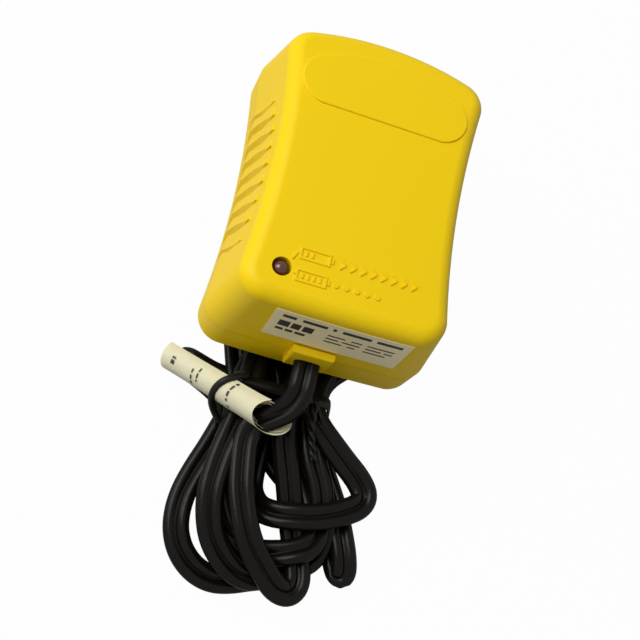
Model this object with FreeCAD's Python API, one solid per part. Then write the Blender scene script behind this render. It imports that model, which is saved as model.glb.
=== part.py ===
import FreeCAD, Part
import math
import os
from FreeCAD import Vector

# Plug-in battery charger: a moulded case that hangs on two wall blades, with a mains transformer
# and a charge board inside, and a flat twin output cord folded into a tied hank at its foot end.
# Frame: X across the case, +Y to the end away from the cord, +Z out of the front face.
# The blade tips stand on Z = 0 and the case is centred on X = 0, Y = 0. All sizes are in mm.

os.makedirs("parts", exist_ok=True)

# Case
FRONT_W = 60.0
FRONT_L = 80.5
SIDE_WAIST = 3.3
TOP_CROWN = 5.9
FOOT_BOW = 0.6
SIDE_DRAFT = 0.146
TOP_DRAFT = 0.156
FOOT_DRAFT = 0.067
SHELL_D = 27.4
COVER_D = 15.6
WALL = 2.4
CORNER_R = 8.0
FRONT_EDGE_R = 4.4
REAR_EDGE_R = 4.5
FALL_START = 9.2
FALL_R = 258.0
LIP_H = 2.5
LIP_T = 1.2
LIP_GAP = 0.15
LIP_ROOT = 3.0
SEAM_STEP = 0.3

# Pad, legend and lamp on the front face
PAD_RISE = 0.5
PAD_EDGE_R = 0.3
PAD_HALF = 24.7
PAD_FOOT_Y = 16.6
PAD_SIDE_Y = 24.4
PAD_SHOULDER_Y = 32.2
PAD_TOP_Y = 36.2
PAD_FOOT_HALF = 18.0
PAD_SHOULDER_HALF = 19.7
MARK_RISE = 0.35
MARK_H = 3.0
MARK_LINE = 0.55
MARK_PITCH = 2.9
ROW_1_Y = -28.8
ROW_2_Y = -35.1
ROW_1_CHEVRONS = 8
ROW_2_DOTS = 5
CELL_SYMBOL_L = 8.0
CELL_COUNT = 4
POINTER_GAP = 1.1
LAMP_IN = 1.6
LEGEND_OUT = 4.2
LAMP_Y = -34.1
LAMP_D = 5.0
LAMP_FLANGE_D = 5.8
LAMP_FLANGE_H = 1.0
LAMP_H = 8.6
LAMP_PROUD = 0.3
LAMP_GAP = 0.15

# Side louvres
FIN_COUNT = 9
FIN_FIRST_Y = 19.0
FIN_PITCH = 5.56
FIN_TIP_MID = 6.8
FIN_TIP_BOW = 0.0095
FIN_TIP_Y = -3.5
FIN_WIDE_AT = 9.0
FIN_WIDE_RISE = 0.1
FIN_WIDE_W = 2.1
FIN_WIDE_D = 1.2
FIN_SEAM_RISE = 2.0
FIN_SEAM_W = 1.5
FIN_SEAM_D = 1.3
FIN_LAST_AT = 7.0
FIN_LAST_RISE = 2.6
FIN_PROUD = 0.55
FIN_PLATE_W = 3.0
FIN_NOSE = 0.8
FIN_NOSE_SLANT = 1.2
FIN_FOOT_RISE = 0.05
FIN_RAMP_PAST = 0.25
FIN_END_SHARE = 0.55

# Label on the foot end
LABEL_W = 38.7
LABEL_X = 2.5
LABEL_FROM = 4.6
LABEL_TO = 21.3
LABEL_T = 0.15

# Wall blades and their carrier
BLADE_OUT = 17.0
BLADE_PITCH = 12.7
BLADE_T = 1.5
BLADE_W = 6.35
BLADE_Y = 16.0
BLADE_TIP_R = 1.6
BLADE_HOLE_D = 3.2
BLADE_HOLE_UP = 4.6
BLADE_TAIL = 1.8
CARRIER_L = 20.0
CARRIER_W = 10.5
CARRIER_FLANGE = 2.0
CARRIER_GAP = 0.1

# Screws
SCREW_R = 1.4
SCREW_HEAD_R = 2.7
SCREW_HEAD_H = 1.9
SCREW_L = 17.0
SCREW_SINK = 5.0
SCREW_GAP = 0.05
HEAD_GAP = 0.3
CROSS_ARM_SHARE = 1.2
CROSS_SLOT_SHARE = 0.22
CROSS_DEPTH_SHARE = 0.42
BOSS_R = 3.2
POST_R = 4.3
BOSS_GAP = 0.15
TOP_BOSS_GAP = 0.2
TOP_BOSS_Y = 33.0
FOOT_BOSS_GAP = 1.5
FOOT_BOSS_Y = -35.5

# Transformer
CORE_W = 41.0
CORE_L = 34.2
CORE_STACK = 16.0
CORE_FOOT_Y = 2.0
CORE_REST = 11.2
LEG_W = 13.7
YOKE_W = 6.85
BOBBIN_WALL = 1.0
BOBBIN_FLANGE = 1.0
BOBBIN_GAP = 0.15
COIL_UP = 6.4
WINDING_BACK = 0.9
WINDING_CORNER_R = 2.0
TAPE_T = 0.25
REST_R = 2.2
REST_X = 17.3
REST_IN = 4.0
REST_GAP = 0.2
RAIL_W = 22.0
RAIL_H = 2.6
RAIL_OUT = 3.0
PIN_R = 0.45
PIN_L = 4.2
PIN_SINK = 1.4
PIN_X = 8.5
FUSE_R = 1.1
FUSE_L = 8.0

# Circuit board
BOARD_W = 41.0
BOARD_L = 27.0
BOARD_T = 1.6
BOARD_FOOT_Y = -38.0
BOARD_DROP = 12.4
BOARD_BOSS_R = 2.6
BOARD_SCREW_L = 6.0
BOARD_SCREW_HEAD_R = 2.3
BOARD_SCREW_HEAD_H = 1.5
BOARD_SCREWS = ((-17.0, -14.6), (17.0, -14.6), (6.0, -35.0))
RELAY = (17.0, 14.0, 14.0)
RELAY_AT = (-11.0, -24.2)
CAP_R = 5.0
CAP_H = 20.0
CAP_AT = (13.0, -28.6)
CHIP = (9.6, 6.4, 3.3)
CHIP_AT = (-4.0, -26.5)
CHIP_STAND = 0.5
CHIP_LEG_PITCH = 2.54
TRANSISTOR = (10.2, 4.4, 15.0)
TRANSISTOR_AT = (7.5, -19.2)
TRANSISTOR_LEG = 3.0
SINK_W = 13.0
SINK_T = 2.0
SINK_H = 17.0
SINK_FINS = 4
SINK_FIN_OUT = 5.0
LEAD_WIRE_R = 0.35
DIODE_R = 1.35
DIODE_L = 5.2
DIODE_X = (6.5, 10.5, 14.5, 18.5)
DIODE_Y = -25.0
RESISTOR_R = 1.2
RESISTOR_L = 6.3
RESISTOR_X = (-11.5, -7.0, -2.5, 2.0)
RESISTOR_Y = -17.5
AXIAL_SPAN = 2.2
AXIAL_STAND = 0.1

# Wires inside
WIRE_R = 0.7
PRIMARY_RUN_IN = 5.7
PRIMARY_RUN_Y = 20.0
CONDUCTOR_R = 1.0
CONDUCTOR_UP_Y = -32.6

# Output cord and where it leaves the case
ARC_SHARE = 0.45
CORD_W = 7.7
CORD_T = 3.9
CORD_TUBE_D = 6.0
COLLAR_OUT = 2.2
COLLAR_X = -0.7
COLLAR_W = 12.2
COLLAR_H = 11.6
COLLAR_RISE = 14.8
COLLAR_EDGE_R = 0.8
NECK_W = 9.8
NECK_H = 9.0
NECK_GAP = 0.1
STOP_W = 14.0
STOP_H = 12.0
STOP_T = 1.5
CORD_DROP = 1.0
CORD_IN = 3.0
LEAD_EXIT_RUN = 5.3
LEAD_ROUTE = (
    (-1.9, -58.6, 29.9),
    (-4.9, -63.2, 27.2),
    (-9.2, -66.3, 23.9),
    (-13.9, -68.9, 21.0),
    (-18.2, -72.6, 18.6),
    (-21.6, -77.5, 16.1),
    (-23.1, -83.6, 13.8),
    (-21.8, -89.9, 12.65),
    (-17.9, -95.9, 12.65),
    (-12.2, -101.3, 12.65),
)
LEAD_END_RUN = 6.0

# Hank of the output cord
HANK_LIFT = 0.6
LAYER_GAP = 0.5
LOOP_X = 1.0
LOW_Y = -82.0
LOW_R = 7.0
LOW_STEP = CORD_T + 1.7
HIGH_Y = -18.0
HIGH_R = 6.0
HIGH_STEP = CORD_T + 0.8
WAIST_Y = -53.0
WAIST_X = 0.0
WAIST_HALF = 1.2
WAIST_STEP = CORD_T + 0.9
FLANK_LEAN = 1.25
STATIONS = 12
HANK_START = -33
HANK_END = 44

# Tie round the waist of the hank
TIE_T = 0.5
TIE_W = 4.0
TIE_GAP = 0.35
TIE_TWIST_R = 1.0
TIE_TWIST_L = 14.0
TIE_TWIST_X = 9.0

# Output plug
PLUG_R = 5.0
PLUG_L = 20.0
PLUG_TAIL_R = CORD_TUBE_D / 2 + 0.3
RELIEF_L = 12.0
RELIEF_END_R = 4.2
CONTACT_R = 2.75
CONTACT_L = 9.5
CONTACT_BORE_R = 1.25
CONTACT_NECK_R = 2.1
CONTACT_NECK_L = 1.0
CONTACT_SEAT = 4.0
TAIL_RUN = 4.6
TAIL_SHIFT = 0.35
TAIL_OUT = 0.85
TAIL_BEND_AT = 11.0
TAIL_L = 15.6

# Leaflet roll
ROLL_MOUTH = (-6.4, -63.6, 24.6)
ROLL_END = (-34.6, -47.6, 8.0)
ROLL_R = 4.2
ROLL_BORE_R = 2.2
SHEET_T = 0.4
SHEET_GAP = 0.12
ROLL_CLEAR = 0.3
BAND_R = 0.8
BAND_GAP = 0.15
BAND_AT = 20.5

# Heights and ends worked out from the sizes above
BACK_Z = BLADE_OUT
PART_Z = BACK_Z + COVER_D
FRONT_Z = PART_Z + SHELL_D
CAVITY_Z = FRONT_Z - WALL
FLOOR_Z = BACK_Z + WALL
TOP_REACH = FRONT_L / 2 + SHELL_D * TOP_DRAFT + TOP_CROWN
FOOT_REACH = FRONT_L / 2 + SHELL_D * FOOT_DRAFT + FOOT_BOW + COLLAR_OUT
MIDDLE_Y = (FOOT_REACH - TOP_REACH) / 2
FOOT_FACE_Y = MIDDLE_Y - FOOT_REACH + COLLAR_OUT
COLLAR_FACE_Y = MIDDLE_Y - FOOT_REACH
FAR = 4 * FRONT_W
TINY = 0.0001
LIP_IN = WALL + LIP_GAP + LIP_H * max(SIDE_DRAFT, TOP_DRAFT, FOOT_DRAFT)
CORE_Z = FLOOR_Z + CORE_REST
CORE_TOP_Z = CORE_Z + CORE_STACK
CORE_TOP_Y = CORE_FOOT_Y + CORE_L
CORE_MID_Z = CORE_Z + CORE_STACK / 2
BOARD_TOP_Z = FRONT_Z - BOARD_DROP
BOARD_Z = BOARD_TOP_Z - BOARD_T
COLLAR_Z = BACK_Z + COLLAR_RISE
CORD_Z = COLLAR_Z - CORD_DROP
LAYER_LOW_Z = HANK_LIFT + CORD_W / 2
LAYER_HIGH_Z = LAYER_LOW_Z + CORD_W + LAYER_GAP
TOP_BOSS_X = CORE_W / 2 + TOP_BOSS_GAP + POST_R
FOOT_BOSS_X = BOARD_W / 2 + FOOT_BOSS_GAP + BOSS_R
BOSSES = tuple(
    (side * x, y)
    for x, y in ((TOP_BOSS_X, TOP_BOSS_Y), (FOOT_BOSS_X, FOOT_BOSS_Y)) for side in (1, -1)
)
SCREW_SEAT_Z = BACK_Z + SCREW_SINK
SCREW_TIP_Z = SCREW_SEAT_Z + SCREW_L
BOARD_SCREW_TIP_Z = BOARD_TOP_Z + BOARD_SCREW_L
LAMP_X = LAMP_IN - BOARD_W / 2
ROW_X = LAMP_X + LEGEND_OUT
LAMP_TOP_Z = FRONT_Z + LAMP_PROUD
LAMP_LEG_X = (LAMP_X - CHIP_LEG_PITCH / 2, LAMP_X + CHIP_LEG_PITCH / 2)
COIL_FOOT_Y = CORE_FOOT_Y + YOKE_W + BOBBIN_GAP
COIL_TOP_Y = CORE_TOP_Y - YOKE_W - BOBBIN_GAP
COIL_MID_Y = (COIL_FOOT_Y + COIL_TOP_Y) / 2
TUBE_HALF_X = LEG_W / 2 + BOBBIN_GAP + BOBBIN_WALL
TUBE_HALF_Z = CORE_STACK / 2 + BOBBIN_GAP + BOBBIN_WALL
FLANGE_HALF_X = CORE_W / 2 - YOKE_W - BOBBIN_GAP
FLANGE_HALF_Z = TUBE_HALF_Z + COIL_UP - BOBBIN_WALL
RAIL_Z = CORE_MID_Z + FLANGE_HALF_Z - RAIL_H
FOOT_PIN_Y = COIL_FOOT_Y - RAIL_OUT / 2
TOP_PIN_Y = COIL_TOP_Y + RAIL_OUT / 2
PIN_TOP_Z = RAIL_Z + RAIL_H - PIN_SINK + PIN_L
PIN_WIRE_Z = RAIL_Z + RAIL_H + WIRE_R + AXIAL_STAND
PRIMARY_RUN_X = FRONT_W / 2 - PRIMARY_RUN_IN
STOP_Y = FOOT_FACE_Y + LIP_IN + LIP_T + NECK_GAP
CORD_END_Y = STOP_Y + STOP_T + CORD_IN


def save(name, solids):
    shape = solids if isinstance(solids, Part.Shape) else Part.makeCompound(solids)
    shape.exportStep("parts/" + name + ".step")
    box = shape.BoundBox
    print("%-20s solids %2d valid %s volume %9.1f  x %.1f %.1f  y %.1f %.1f  z %.1f %.1f" % (
        name, len(shape.Solids), shape.isValid(), shape.Volume,
        box.XMin, box.XMax, box.YMin, box.YMax, box.ZMin, box.ZMax))


def block(x0, x1, y0, y1, z0, z1):
    return Part.makeBox(x1 - x0, y1 - y0, z1 - z0, Vector(x0, y0, z0))


def middle_block(size, x, y, z0):
    return block(x - size[0] / 2, x + size[0] / 2, y - size[1] / 2, y + size[1] / 2, z0, z0 + size[2])


def rod(radius, z0, z1, x, y):
    return Part.makeCylinder(radius, z1 - z0, Vector(x, y, z0))


def y_rod(radius, y0, y1, x, z):
    return Part.makeCylinder(radius, y1 - y0, Vector(x, y0, z), Vector(0, 1, 0))


def ringed_solid(rings):
    """A solid through closed rings of points, with flat caps; a ring may shrink to an edge."""
    count = len(rings[0])
    first, last = rings[0], rings[-1]
    corners = []
    for a, b in zip(rings, rings[1:]):
        for i in range(count):
            j = (i + 1) % count
            corners += [(a[i], a[j], b[j]), (a[i], b[j], b[i])]
    for i in range(1, count - 1):
        corners += [(first[0], first[i + 1], first[i]), (last[0], last[i], last[i + 1])]
    corners = [(a, b, c) for a, b, c in corners if (b - a).cross(c - a).Length > TINY]
    faces = [Part.Face(Part.makePolygon([a, b, c, a])) for a, b, c in corners]
    solid = Part.makeSolid(Part.makeShell(faces))
    if solid.Volume < 0:
        solid.reverse()
    return solid


# Case forms

def side_x(y, depth):
    """Half width of the case at a place along it and a depth behind the front plane."""
    depth = min(depth, SHELL_D)
    half_chord = (FRONT_L + (TOP_DRAFT + FOOT_DRAFT) * depth) / 2
    middle = MIDDLE_Y + (TOP_DRAFT - FOOT_DRAFT) * depth / 2
    radius = (half_chord ** 2 + SIDE_WAIST ** 2) / (2 * SIDE_WAIST)
    draw_in = SIDE_WAIST - (radius - math.sqrt(radius ** 2 - (y - middle) ** 2))
    return FRONT_W / 2 + SIDE_DRAFT * depth - draw_in


def outline(depth, inset, z):
    """Four arcs: the sides are drawn in, the top end is crowned and the foot end is almost flat."""
    half = FRONT_W / 2 + SIDE_DRAFT * depth - inset
    top = MIDDLE_Y + FRONT_L / 2 + TOP_DRAFT * depth - inset
    foot = MIDDLE_Y - FRONT_L / 2 - FOOT_DRAFT * depth + inset
    middle = (top + foot) / 2
    corners = [Vector(half, foot, z), Vector(half, top, z), Vector(-half, top, z), Vector(-half, foot, z)]
    bows = [
        Vector(half - SIDE_WAIST, middle, z),
        Vector(0, top + TOP_CROWN, z),
        Vector(SIDE_WAIST - half, middle, z),
        Vector(0, foot - FOOT_BOW, z),
    ]
    arcs = [Part.Arc(corners[i], bows[i], corners[(i + 1) % 4]).toShape() for i in range(4)]
    return Part.Wire(arcs)


def face_fall(y):
    """How far the front face has fallen at a place in its curved stretch."""
    return FALL_R - math.sqrt(FALL_R ** 2 - (y - FALL_START) ** 2)


def below_face(drop):
    """Everything behind the front face, which is flat and then falls away to the top end."""
    def fallen(y):
        return Vector(0, y, FRONT_Z - drop - face_fall(y))

    start = fallen(FALL_START)
    foot = Vector(0, -FRONT_L, FRONT_Z - drop)
    edges = [
        Part.LineSegment(foot, start).toShape(),
        Part.Arc(start, fallen((FALL_START + FRONT_L) / 2), fallen(FRONT_L)).toShape(),
        Part.LineSegment(fallen(FRONT_L), Vector(0, FRONT_L, 0)).toShape(),
        Part.LineSegment(Vector(0, FRONT_L, 0), Vector(0, -FRONT_L, 0)).toShape(),
        Part.LineSegment(Vector(0, -FRONT_L, 0), foot).toShape(),
    ]
    face = Part.Face(Part.Wire(edges))
    face.translate(Vector(-FAR / 2, 0, 0))
    return face.extrude(Vector(FAR, 0, 0))


def upright_edges(solid):
    return [e for e in solid.Edges if abs(e.Vertexes[0].Z - e.Vertexes[-1].Z) > COVER_D / 2]


def level_edges(solid, low, high):
    found = []
    for edge in solid.Edges:
        heights = [v.Z for v in edge.Vertexes]
        if min(heights) > low and max(heights) < high:
            found.append(edge)
    return found


def shell_form(inset, corner_r, edge_r):
    """The tapered front of the case, drawn in by an inset on every side."""
    ends = [outline(inset, inset, FRONT_Z - inset), outline(SHELL_D, inset, PART_Z)]
    body = Part.makeLoft(ends, True, True)
    body = body.makeFillet(corner_r, upright_edges(body))
    body = body.common(below_face(inset))
    low = FRONT_Z - inset - face_fall(FRONT_L / 2 + 2 * TOP_CROWN)
    return body.makeFillet(edge_r, level_edges(body, low, FRONT_Z))


def cover_form(inset, z0, z1, corner_r):
    body = Part.Face(outline(SHELL_D, inset, z0)).extrude(Vector(0, 0, z1 - z0))
    corners = [e for e in body.Edges if abs(e.Vertexes[0].Z - e.Vertexes[-1].Z) > (z1 - z0) / 2]
    return body.makeFillet(corner_r, corners)


def flat_oval(width, height, at, wide, up):
    """A cord's section: an oval with round ends, its long way along the direction called wide."""
    flat = (width - height) / 2
    r = height / 2
    a, b = at + wide * flat + up * r, at + wide * flat - up * r
    c, d = at - wide * flat - up * r, at - wide * flat + up * r
    return Part.Wire([
        Part.Arc(a, at + wide * (flat + r), b).toShape(),
        Part.LineSegment(b, c).toShape(),
        Part.Arc(c, at - wide * (flat + r), d).toShape(),
        Part.LineSegment(d, a).toShape(),
    ])


# Side louvres: under each fin a groove starts at a point, opens and deepens to the parting line
# and fades out on the rear cover. The fin's outer face rises to a crest along its groove.

def fin_rows(side):
    """Each louvre on one side: its tip and the places of its groove from there to the back.

    A place is (y, width, depth of cut, depth behind the front, height of the crest).
    """
    rows = []
    for index in range(FIN_COUNT):
        y = FIN_FIRST_Y - FIN_PITCH * index
        tip = FIN_TIP_MID + FIN_TIP_BOW * (y - FIN_TIP_Y) ** 2
        size = FIN_END_SHARE if index in (0, FIN_COUNT - 1) else 1.0
        crest = FIN_PROUD * size
        rows.append((side, size, [
            (y, 0.0, 0.0, tip, crest),
            (y + FIN_WIDE_RISE, FIN_WIDE_W * size, FIN_WIDE_D * size, tip + FIN_WIDE_AT, crest),
            (y + FIN_SEAM_RISE, FIN_SEAM_W * size, FIN_SEAM_D * size, SHELL_D, crest),
            (y + FIN_LAST_RISE, 0.0, 0.0, SHELL_D + FIN_LAST_AT, 0.0),
        ]))
    return rows


def on_side(side, y, depth, out):
    return Vector(side * (side_x(y, depth) + out), y, FRONT_Z - depth)


def groove_cutter(row):
    """A ramp from the crest down to its deepest line, hard under the edge of the next fin."""
    side, _, places = row
    past = 1 + FIN_RAMP_PAST
    clear = 2 * WALL
    rings = []
    for y, width, cut, depth, crest in places:
        far = y + width * past
        high = (crest + cut) * past - cut
        rings.append([
            on_side(side, y, depth, -cut), on_side(side, y, depth, clear),
            on_side(side, far, depth, clear), on_side(side, far, depth, high),
        ])
    return ringed_solid(rings)


def fin_plate(row, first, last):
    """The raised face of a fin between two of its places: a crest that falls flush at the other edge."""
    side, size, places = row
    rings = []
    for index in range(first, last + 1):
        y, width, _, depth, crest = places[index]
        front, back = depth, depth
        if index == 0:
            front, back = depth - FIN_NOSE, depth - FIN_NOSE + FIN_NOSE_SLANT
        end = y + width + FIN_PLATE_W * size
        high = crest * (end - y) / (end - y - width)
        rings.append([
            on_side(side, y, front, -WALL / 4), on_side(side, y, front, max(high, FIN_FOOT_RISE)),
            on_side(side, end, back, FIN_FOOT_RISE), on_side(side, end, back, -WALL / 4),
        ])
    return ringed_solid(rings)


# Front shell

def pad():
    half, foot = PAD_HALF, PAD_FOOT_HALF
    shoulder = PAD_SHOULDER_HALF
    z = CAVITY_Z + WALL / 6
    right_foot, left_foot = Vector(foot, PAD_FOOT_Y, z), Vector(-foot, PAD_FOOT_Y, z)
    right_top, left_top = Vector(shoulder, PAD_SHOULDER_Y, z), Vector(-shoulder, PAD_SHOULDER_Y, z)
    edge = Part.Wire([
        Part.LineSegment(left_foot, right_foot).toShape(),
        Part.Arc(right_foot, Vector(half, PAD_SIDE_Y, z), right_top).toShape(),
        Part.Arc(right_top, Vector(0, PAD_TOP_Y, z), left_top).toShape(),
        Part.Arc(left_top, Vector(-half, PAD_SIDE_Y, z), left_foot).toShape(),
    ])
    raised = Part.Face(edge).extrude(Vector(0, 0, 2 * WALL)).common(below_face(-PAD_RISE))
    return raised.makeFillet(PAD_EDGE_R, level_edges(raised, z + PAD_RISE, FRONT_Z + WALL))


def bar(x0, y0, x1, y1):
    """A raised line of the legend from one place to another on the front face."""
    along = Vector(x1 - x0, y1 - y0, 0)
    length = along.Length
    line = block(0, length, -MARK_LINE / 2, MARK_LINE / 2, CAVITY_Z + WALL / 2, FRONT_Z + MARK_RISE)
    line.rotate(Vector(0, 0, 0), Vector(0, 0, 1), math.degrees(math.atan2(along.y, along.x)))
    line.translate(Vector(x0, y0, 0))
    return line


def cell_symbol(x, y, filled):
    """A battery seen from its side: a frame, a terminal and a few filled cells."""
    h = MARK_H / 2
    right = x + CELL_SYMBOL_L
    marks = [
        bar(x, y - h, right, y - h),
        bar(x, y + h, right, y + h),
        bar(x, y - h - MARK_LINE / 2, x, y + h + MARK_LINE / 2),
        bar(right, y - h - MARK_LINE / 2, right, y + h + MARK_LINE / 2),
        bar(right + 1.5 * MARK_LINE, y - h / 2, right + 1.5 * MARK_LINE, y + h / 2),
    ]
    pitch = CELL_SYMBOL_L / (CELL_COUNT + 1)
    for index in range(filled):
        at = x + pitch * (index + 1)
        marks.append(bar(at, y - h / 2, at, y + h / 2))
    return marks


def legend():
    """Two generic rows beside the lamp: a battery filling up, and a full battery."""
    marks = cell_symbol(ROW_X, ROW_1_Y, CELL_COUNT // 2) + cell_symbol(ROW_X, ROW_2_Y, CELL_COUNT)
    first = ROW_X + CELL_SYMBOL_L + MARK_PITCH
    for index in range(ROW_1_CHEVRONS):
        x = first + MARK_PITCH * index
        marks.append(bar(x, ROW_1_Y + MARK_H / 2, x + MARK_H / 2, ROW_1_Y))
        marks.append(bar(x, ROW_1_Y - MARK_H / 2, x + MARK_H / 2, ROW_1_Y))
    for index in range(ROW_2_DOTS):
        x = first + MARK_PITCH * index
        marks.append(rod(MARK_H / 4, CAVITY_Z + WALL / 2, FRONT_Z + MARK_RISE, x, ROW_2_Y))
    clear = LAMP_D / 2 + POINTER_GAP
    for y, turn in ((ROW_1_Y, 53.13), (ROW_2_Y, -11.3)):
        start_x = LAMP_X + clear * math.cos(math.radians(turn))
        start_y = LAMP_Y + clear * math.sin(math.radians(turn))
        marks.append(bar(start_x, start_y, ROW_X - 1.5 * MARK_LINE, y))
    return marks


def neck_cutter():
    w, h = NECK_W / 2 + NECK_GAP, NECK_H / 2 + NECK_GAP
    return block(COLLAR_X - w, COLLAR_X + w, -FAR / 2, STOP_Y, COLLAR_Z - h, COLLAR_Z + h)


def core_rests(z0, z1, radius):
    """Four stumps that hold the core's outer legs."""
    ends = (CORE_FOOT_Y + REST_IN, CORE_TOP_Y - REST_IN)
    return [rod(radius, z0, z1, x, y) for x in (-REST_X, REST_X) for y in ends]


def front_shell():
    outer = shell_form(0.0, CORNER_R, FRONT_EDGE_R)
    rows = fin_rows(1) + fin_rows(-1)
    outer = outer.fuse([fin_plate(row, 0, 2) for row in rows])
    cavity = shell_form(WALL, CORNER_R - WALL, FRONT_EDGE_R - WALL)
    outer = outer.cut(Part.makeCompound([groove_cutter(row) for row in rows]))
    shell = outer.cut(cavity)
    room = shell_form(WALL / 2, CORNER_R - WALL / 2, FRONT_EDGE_R - WALL / 2)
    inside = [rod(BOSS_R, PART_Z + BOSS_GAP, FRONT_Z, x, y) for x, y in BOSSES]
    inside += core_rests(CORE_TOP_Z + REST_GAP, FRONT_Z, REST_R)
    inside += [rod(BOARD_BOSS_R, BOARD_TOP_Z, FRONT_Z, x, y) for x, y in BOARD_SCREWS]
    inside = [stump.common(room) for stump in inside]
    shell = shell.fuse(inside + [pad()] + legend())
    holes = [rod(SCREW_R + SCREW_GAP, PART_Z - 1, SCREW_TIP_Z + SCREW_GAP, x, y) for x, y in BOSSES]
    holes += [
        rod(SCREW_R + SCREW_GAP, BOARD_Z, BOARD_SCREW_TIP_Z + SCREW_GAP, x, y) for x, y in BOARD_SCREWS
    ]
    holes.append(rod(LAMP_D / 2 + LAMP_GAP, BOARD_TOP_Z, FRONT_Z + WALL, LAMP_X, LAMP_Y))
    holes.append(neck_cutter())
    return shell.cut(Part.makeCompound(holes)).removeSplitter()


# Rear cover

def rear_cover():
    body = cover_form(0.0, BACK_Z, PART_Z - SEAM_STEP, CORNER_R)
    body = body.makeFillet(REAR_EDGE_R, level_edges(body, BACK_Z - 1, BACK_Z + 1))
    rim = cover_form(SEAM_STEP, PART_Z - 2 * SEAM_STEP, PART_Z, CORNER_R - SEAM_STEP)
    rows = fin_rows(1) + fin_rows(-1)
    body = body.fuse([rim] + [fin_plate(row, 2, 3) for row in rows])
    body = body.cut(Part.makeCompound([groove_cutter(row) for row in rows]))
    cavity = cover_form(WALL, FLOOR_Z, PART_Z + 1, CORNER_R - WALL)
    cavity = cavity.makeFillet(REAR_EDGE_R - WALL, level_edges(cavity, FLOOR_Z - 1, FLOOR_Z + 1))
    lip_r = CORNER_R - LIP_IN
    lip = cover_form(LIP_IN, PART_Z - LIP_ROOT, PART_Z + LIP_H, lip_r)
    root = cover_form(WALL / 2, PART_Z - LIP_ROOT, PART_Z - LIP_ROOT / 3, CORNER_R - WALL / 2)
    hollow = cover_form(LIP_IN + LIP_T, PART_Z - LIP_ROOT - 1, PART_Z + LIP_H + 1, lip_r - LIP_T)
    ring = lip.fuse(root).cut(hollow)
    bosses = [rod(BOSS_R + BOSS_GAP, PART_Z, PART_Z + 2 * LIP_H, x, y) for x, y in BOSSES]
    cover = body.cut(cavity).fuse(ring.cut(Part.makeCompound(bosses)))
    posts = [rod(POST_R, FLOOR_Z - WALL / 2, PART_Z, x, y) for x, y in BOSSES]
    room = cover_form(WALL / 2, BACK_Z + WALL / 4, PART_Z, CORNER_R - WALL / 2)
    posts = [post.common(room) for post in posts]
    posts += core_rests(FLOOR_Z - WALL / 2, CORE_Z, REST_R)
    cover = cover.fuse(posts)
    holes = []
    for x, y in BOSSES:
        holes.append(rod(SCREW_HEAD_R + HEAD_GAP, BACK_Z - 1, BACK_Z + SCREW_SINK, x, y))
        holes.append(rod(SCREW_R + SCREW_GAP, BACK_Z, PART_Z + 1, x, y))
    seat = (CARRIER_L + 2 * CARRIER_GAP, CARRIER_W + 2 * CARRIER_GAP, 2 * WALL)
    holes.append(middle_block(seat, 0, BLADE_Y, BACK_Z - WALL / 2))
    holes.append(neck_cutter())
    return cover.cut(Part.makeCompound(holes)).removeSplitter()


def round_edges(solid):
    return [e for e in solid.Edges if isinstance(e.Curve, Part.Circle)]


def pan_screw(x, y, seat_z, length, head_r, head_h):
    """A screw that goes in towards the front, with a domed head and a cross in it."""
    shank = rod(SCREW_R, seat_z - head_h / 2, seat_z + length, x, y)
    shank = shank.makeChamfer(SCREW_R / 2, [e for e in round_edges(shank) if e.Vertexes[0].Z > seat_z])
    head = rod(head_r, seat_z - head_h, seat_z, x, y)
    rim = [e for e in round_edges(head) if e.Vertexes[0].Z < seat_z - head_h / 2]
    head = head.makeFillet(head_h / 2, rim)
    arm, slot, deep = head_r * CROSS_ARM_SHARE, head_r * CROSS_SLOT_SHARE, head_h * CROSS_DEPTH_SHARE
    cross = [
        middle_block((long, wide, head_h + deep), x, y, seat_z - 2 * head_h)
        for long, wide in ((arm, slot), (slot, arm))
    ]
    return head.fuse(shank).cut(Part.makeCompound(cross))


# Wall blades and carrier

def plug_blades():
    blades = []
    top = FLOOR_Z + CARRIER_FLANGE + BLADE_TAIL
    for side in (-1, 1):
        x = side * BLADE_PITCH / 2
        blade = middle_block((BLADE_T, BLADE_W, top), x, BLADE_Y, 0)
        foot_edges = [e for e in blade.Edges if max(v.Z for v in e.Vertexes) < BLADE_TIP_R]
        corners = [e for e in foot_edges if abs(e.Vertexes[0].Y - e.Vertexes[-1].Y) < TINY]
        blade = blade.makeFillet(BLADE_TIP_R, corners)
        start = Vector(x - BLADE_T, BLADE_Y, BLADE_HOLE_UP)
        hole = Part.makeCylinder(BLADE_HOLE_D / 2, 2 * BLADE_T, start, Vector(1, 0, 0))
        blades.append(blade.cut(hole))
    return blades


def blade_carrier():
    body = middle_block((CARRIER_L, CARRIER_W, WALL + CARRIER_FLANGE / 2), 0, BLADE_Y, BACK_Z)
    wide = (CARRIER_L + 2 * CARRIER_FLANGE, CARRIER_W + 2 * CARRIER_FLANGE, CARRIER_FLANGE)
    body = body.fuse(middle_block(wide, 0, BLADE_Y, FLOOR_Z))
    size = (BLADE_T, BLADE_W, FLOOR_Z)
    slots = [middle_block(size, side * BLADE_PITCH / 2, BLADE_Y, BACK_Z / 2) for side in (-1, 1)]
    return body.cut(Part.makeCompound(slots))


# Transformer

def around_leg(half_x, half_z, y0, y1):
    return block(-half_x, half_x, y0, y1, CORE_MID_Z - half_z, CORE_MID_Z + half_z)


def core_laminations():
    """A stack with a window on each side of its middle leg."""
    core = block(-CORE_W / 2, CORE_W / 2, CORE_FOOT_Y, CORE_TOP_Y, CORE_Z, CORE_TOP_Z)
    y0, y1 = CORE_FOOT_Y + YOKE_W, CORE_TOP_Y - YOKE_W
    for side in (-1, 1):
        inner, outer = sorted((side * LEG_W / 2, side * (CORE_W / 2 - YOKE_W)))
        core = core.cut(block(inner, outer, y0, y1, CORE_Z - 1, CORE_TOP_Z + 1))
    return core


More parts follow.
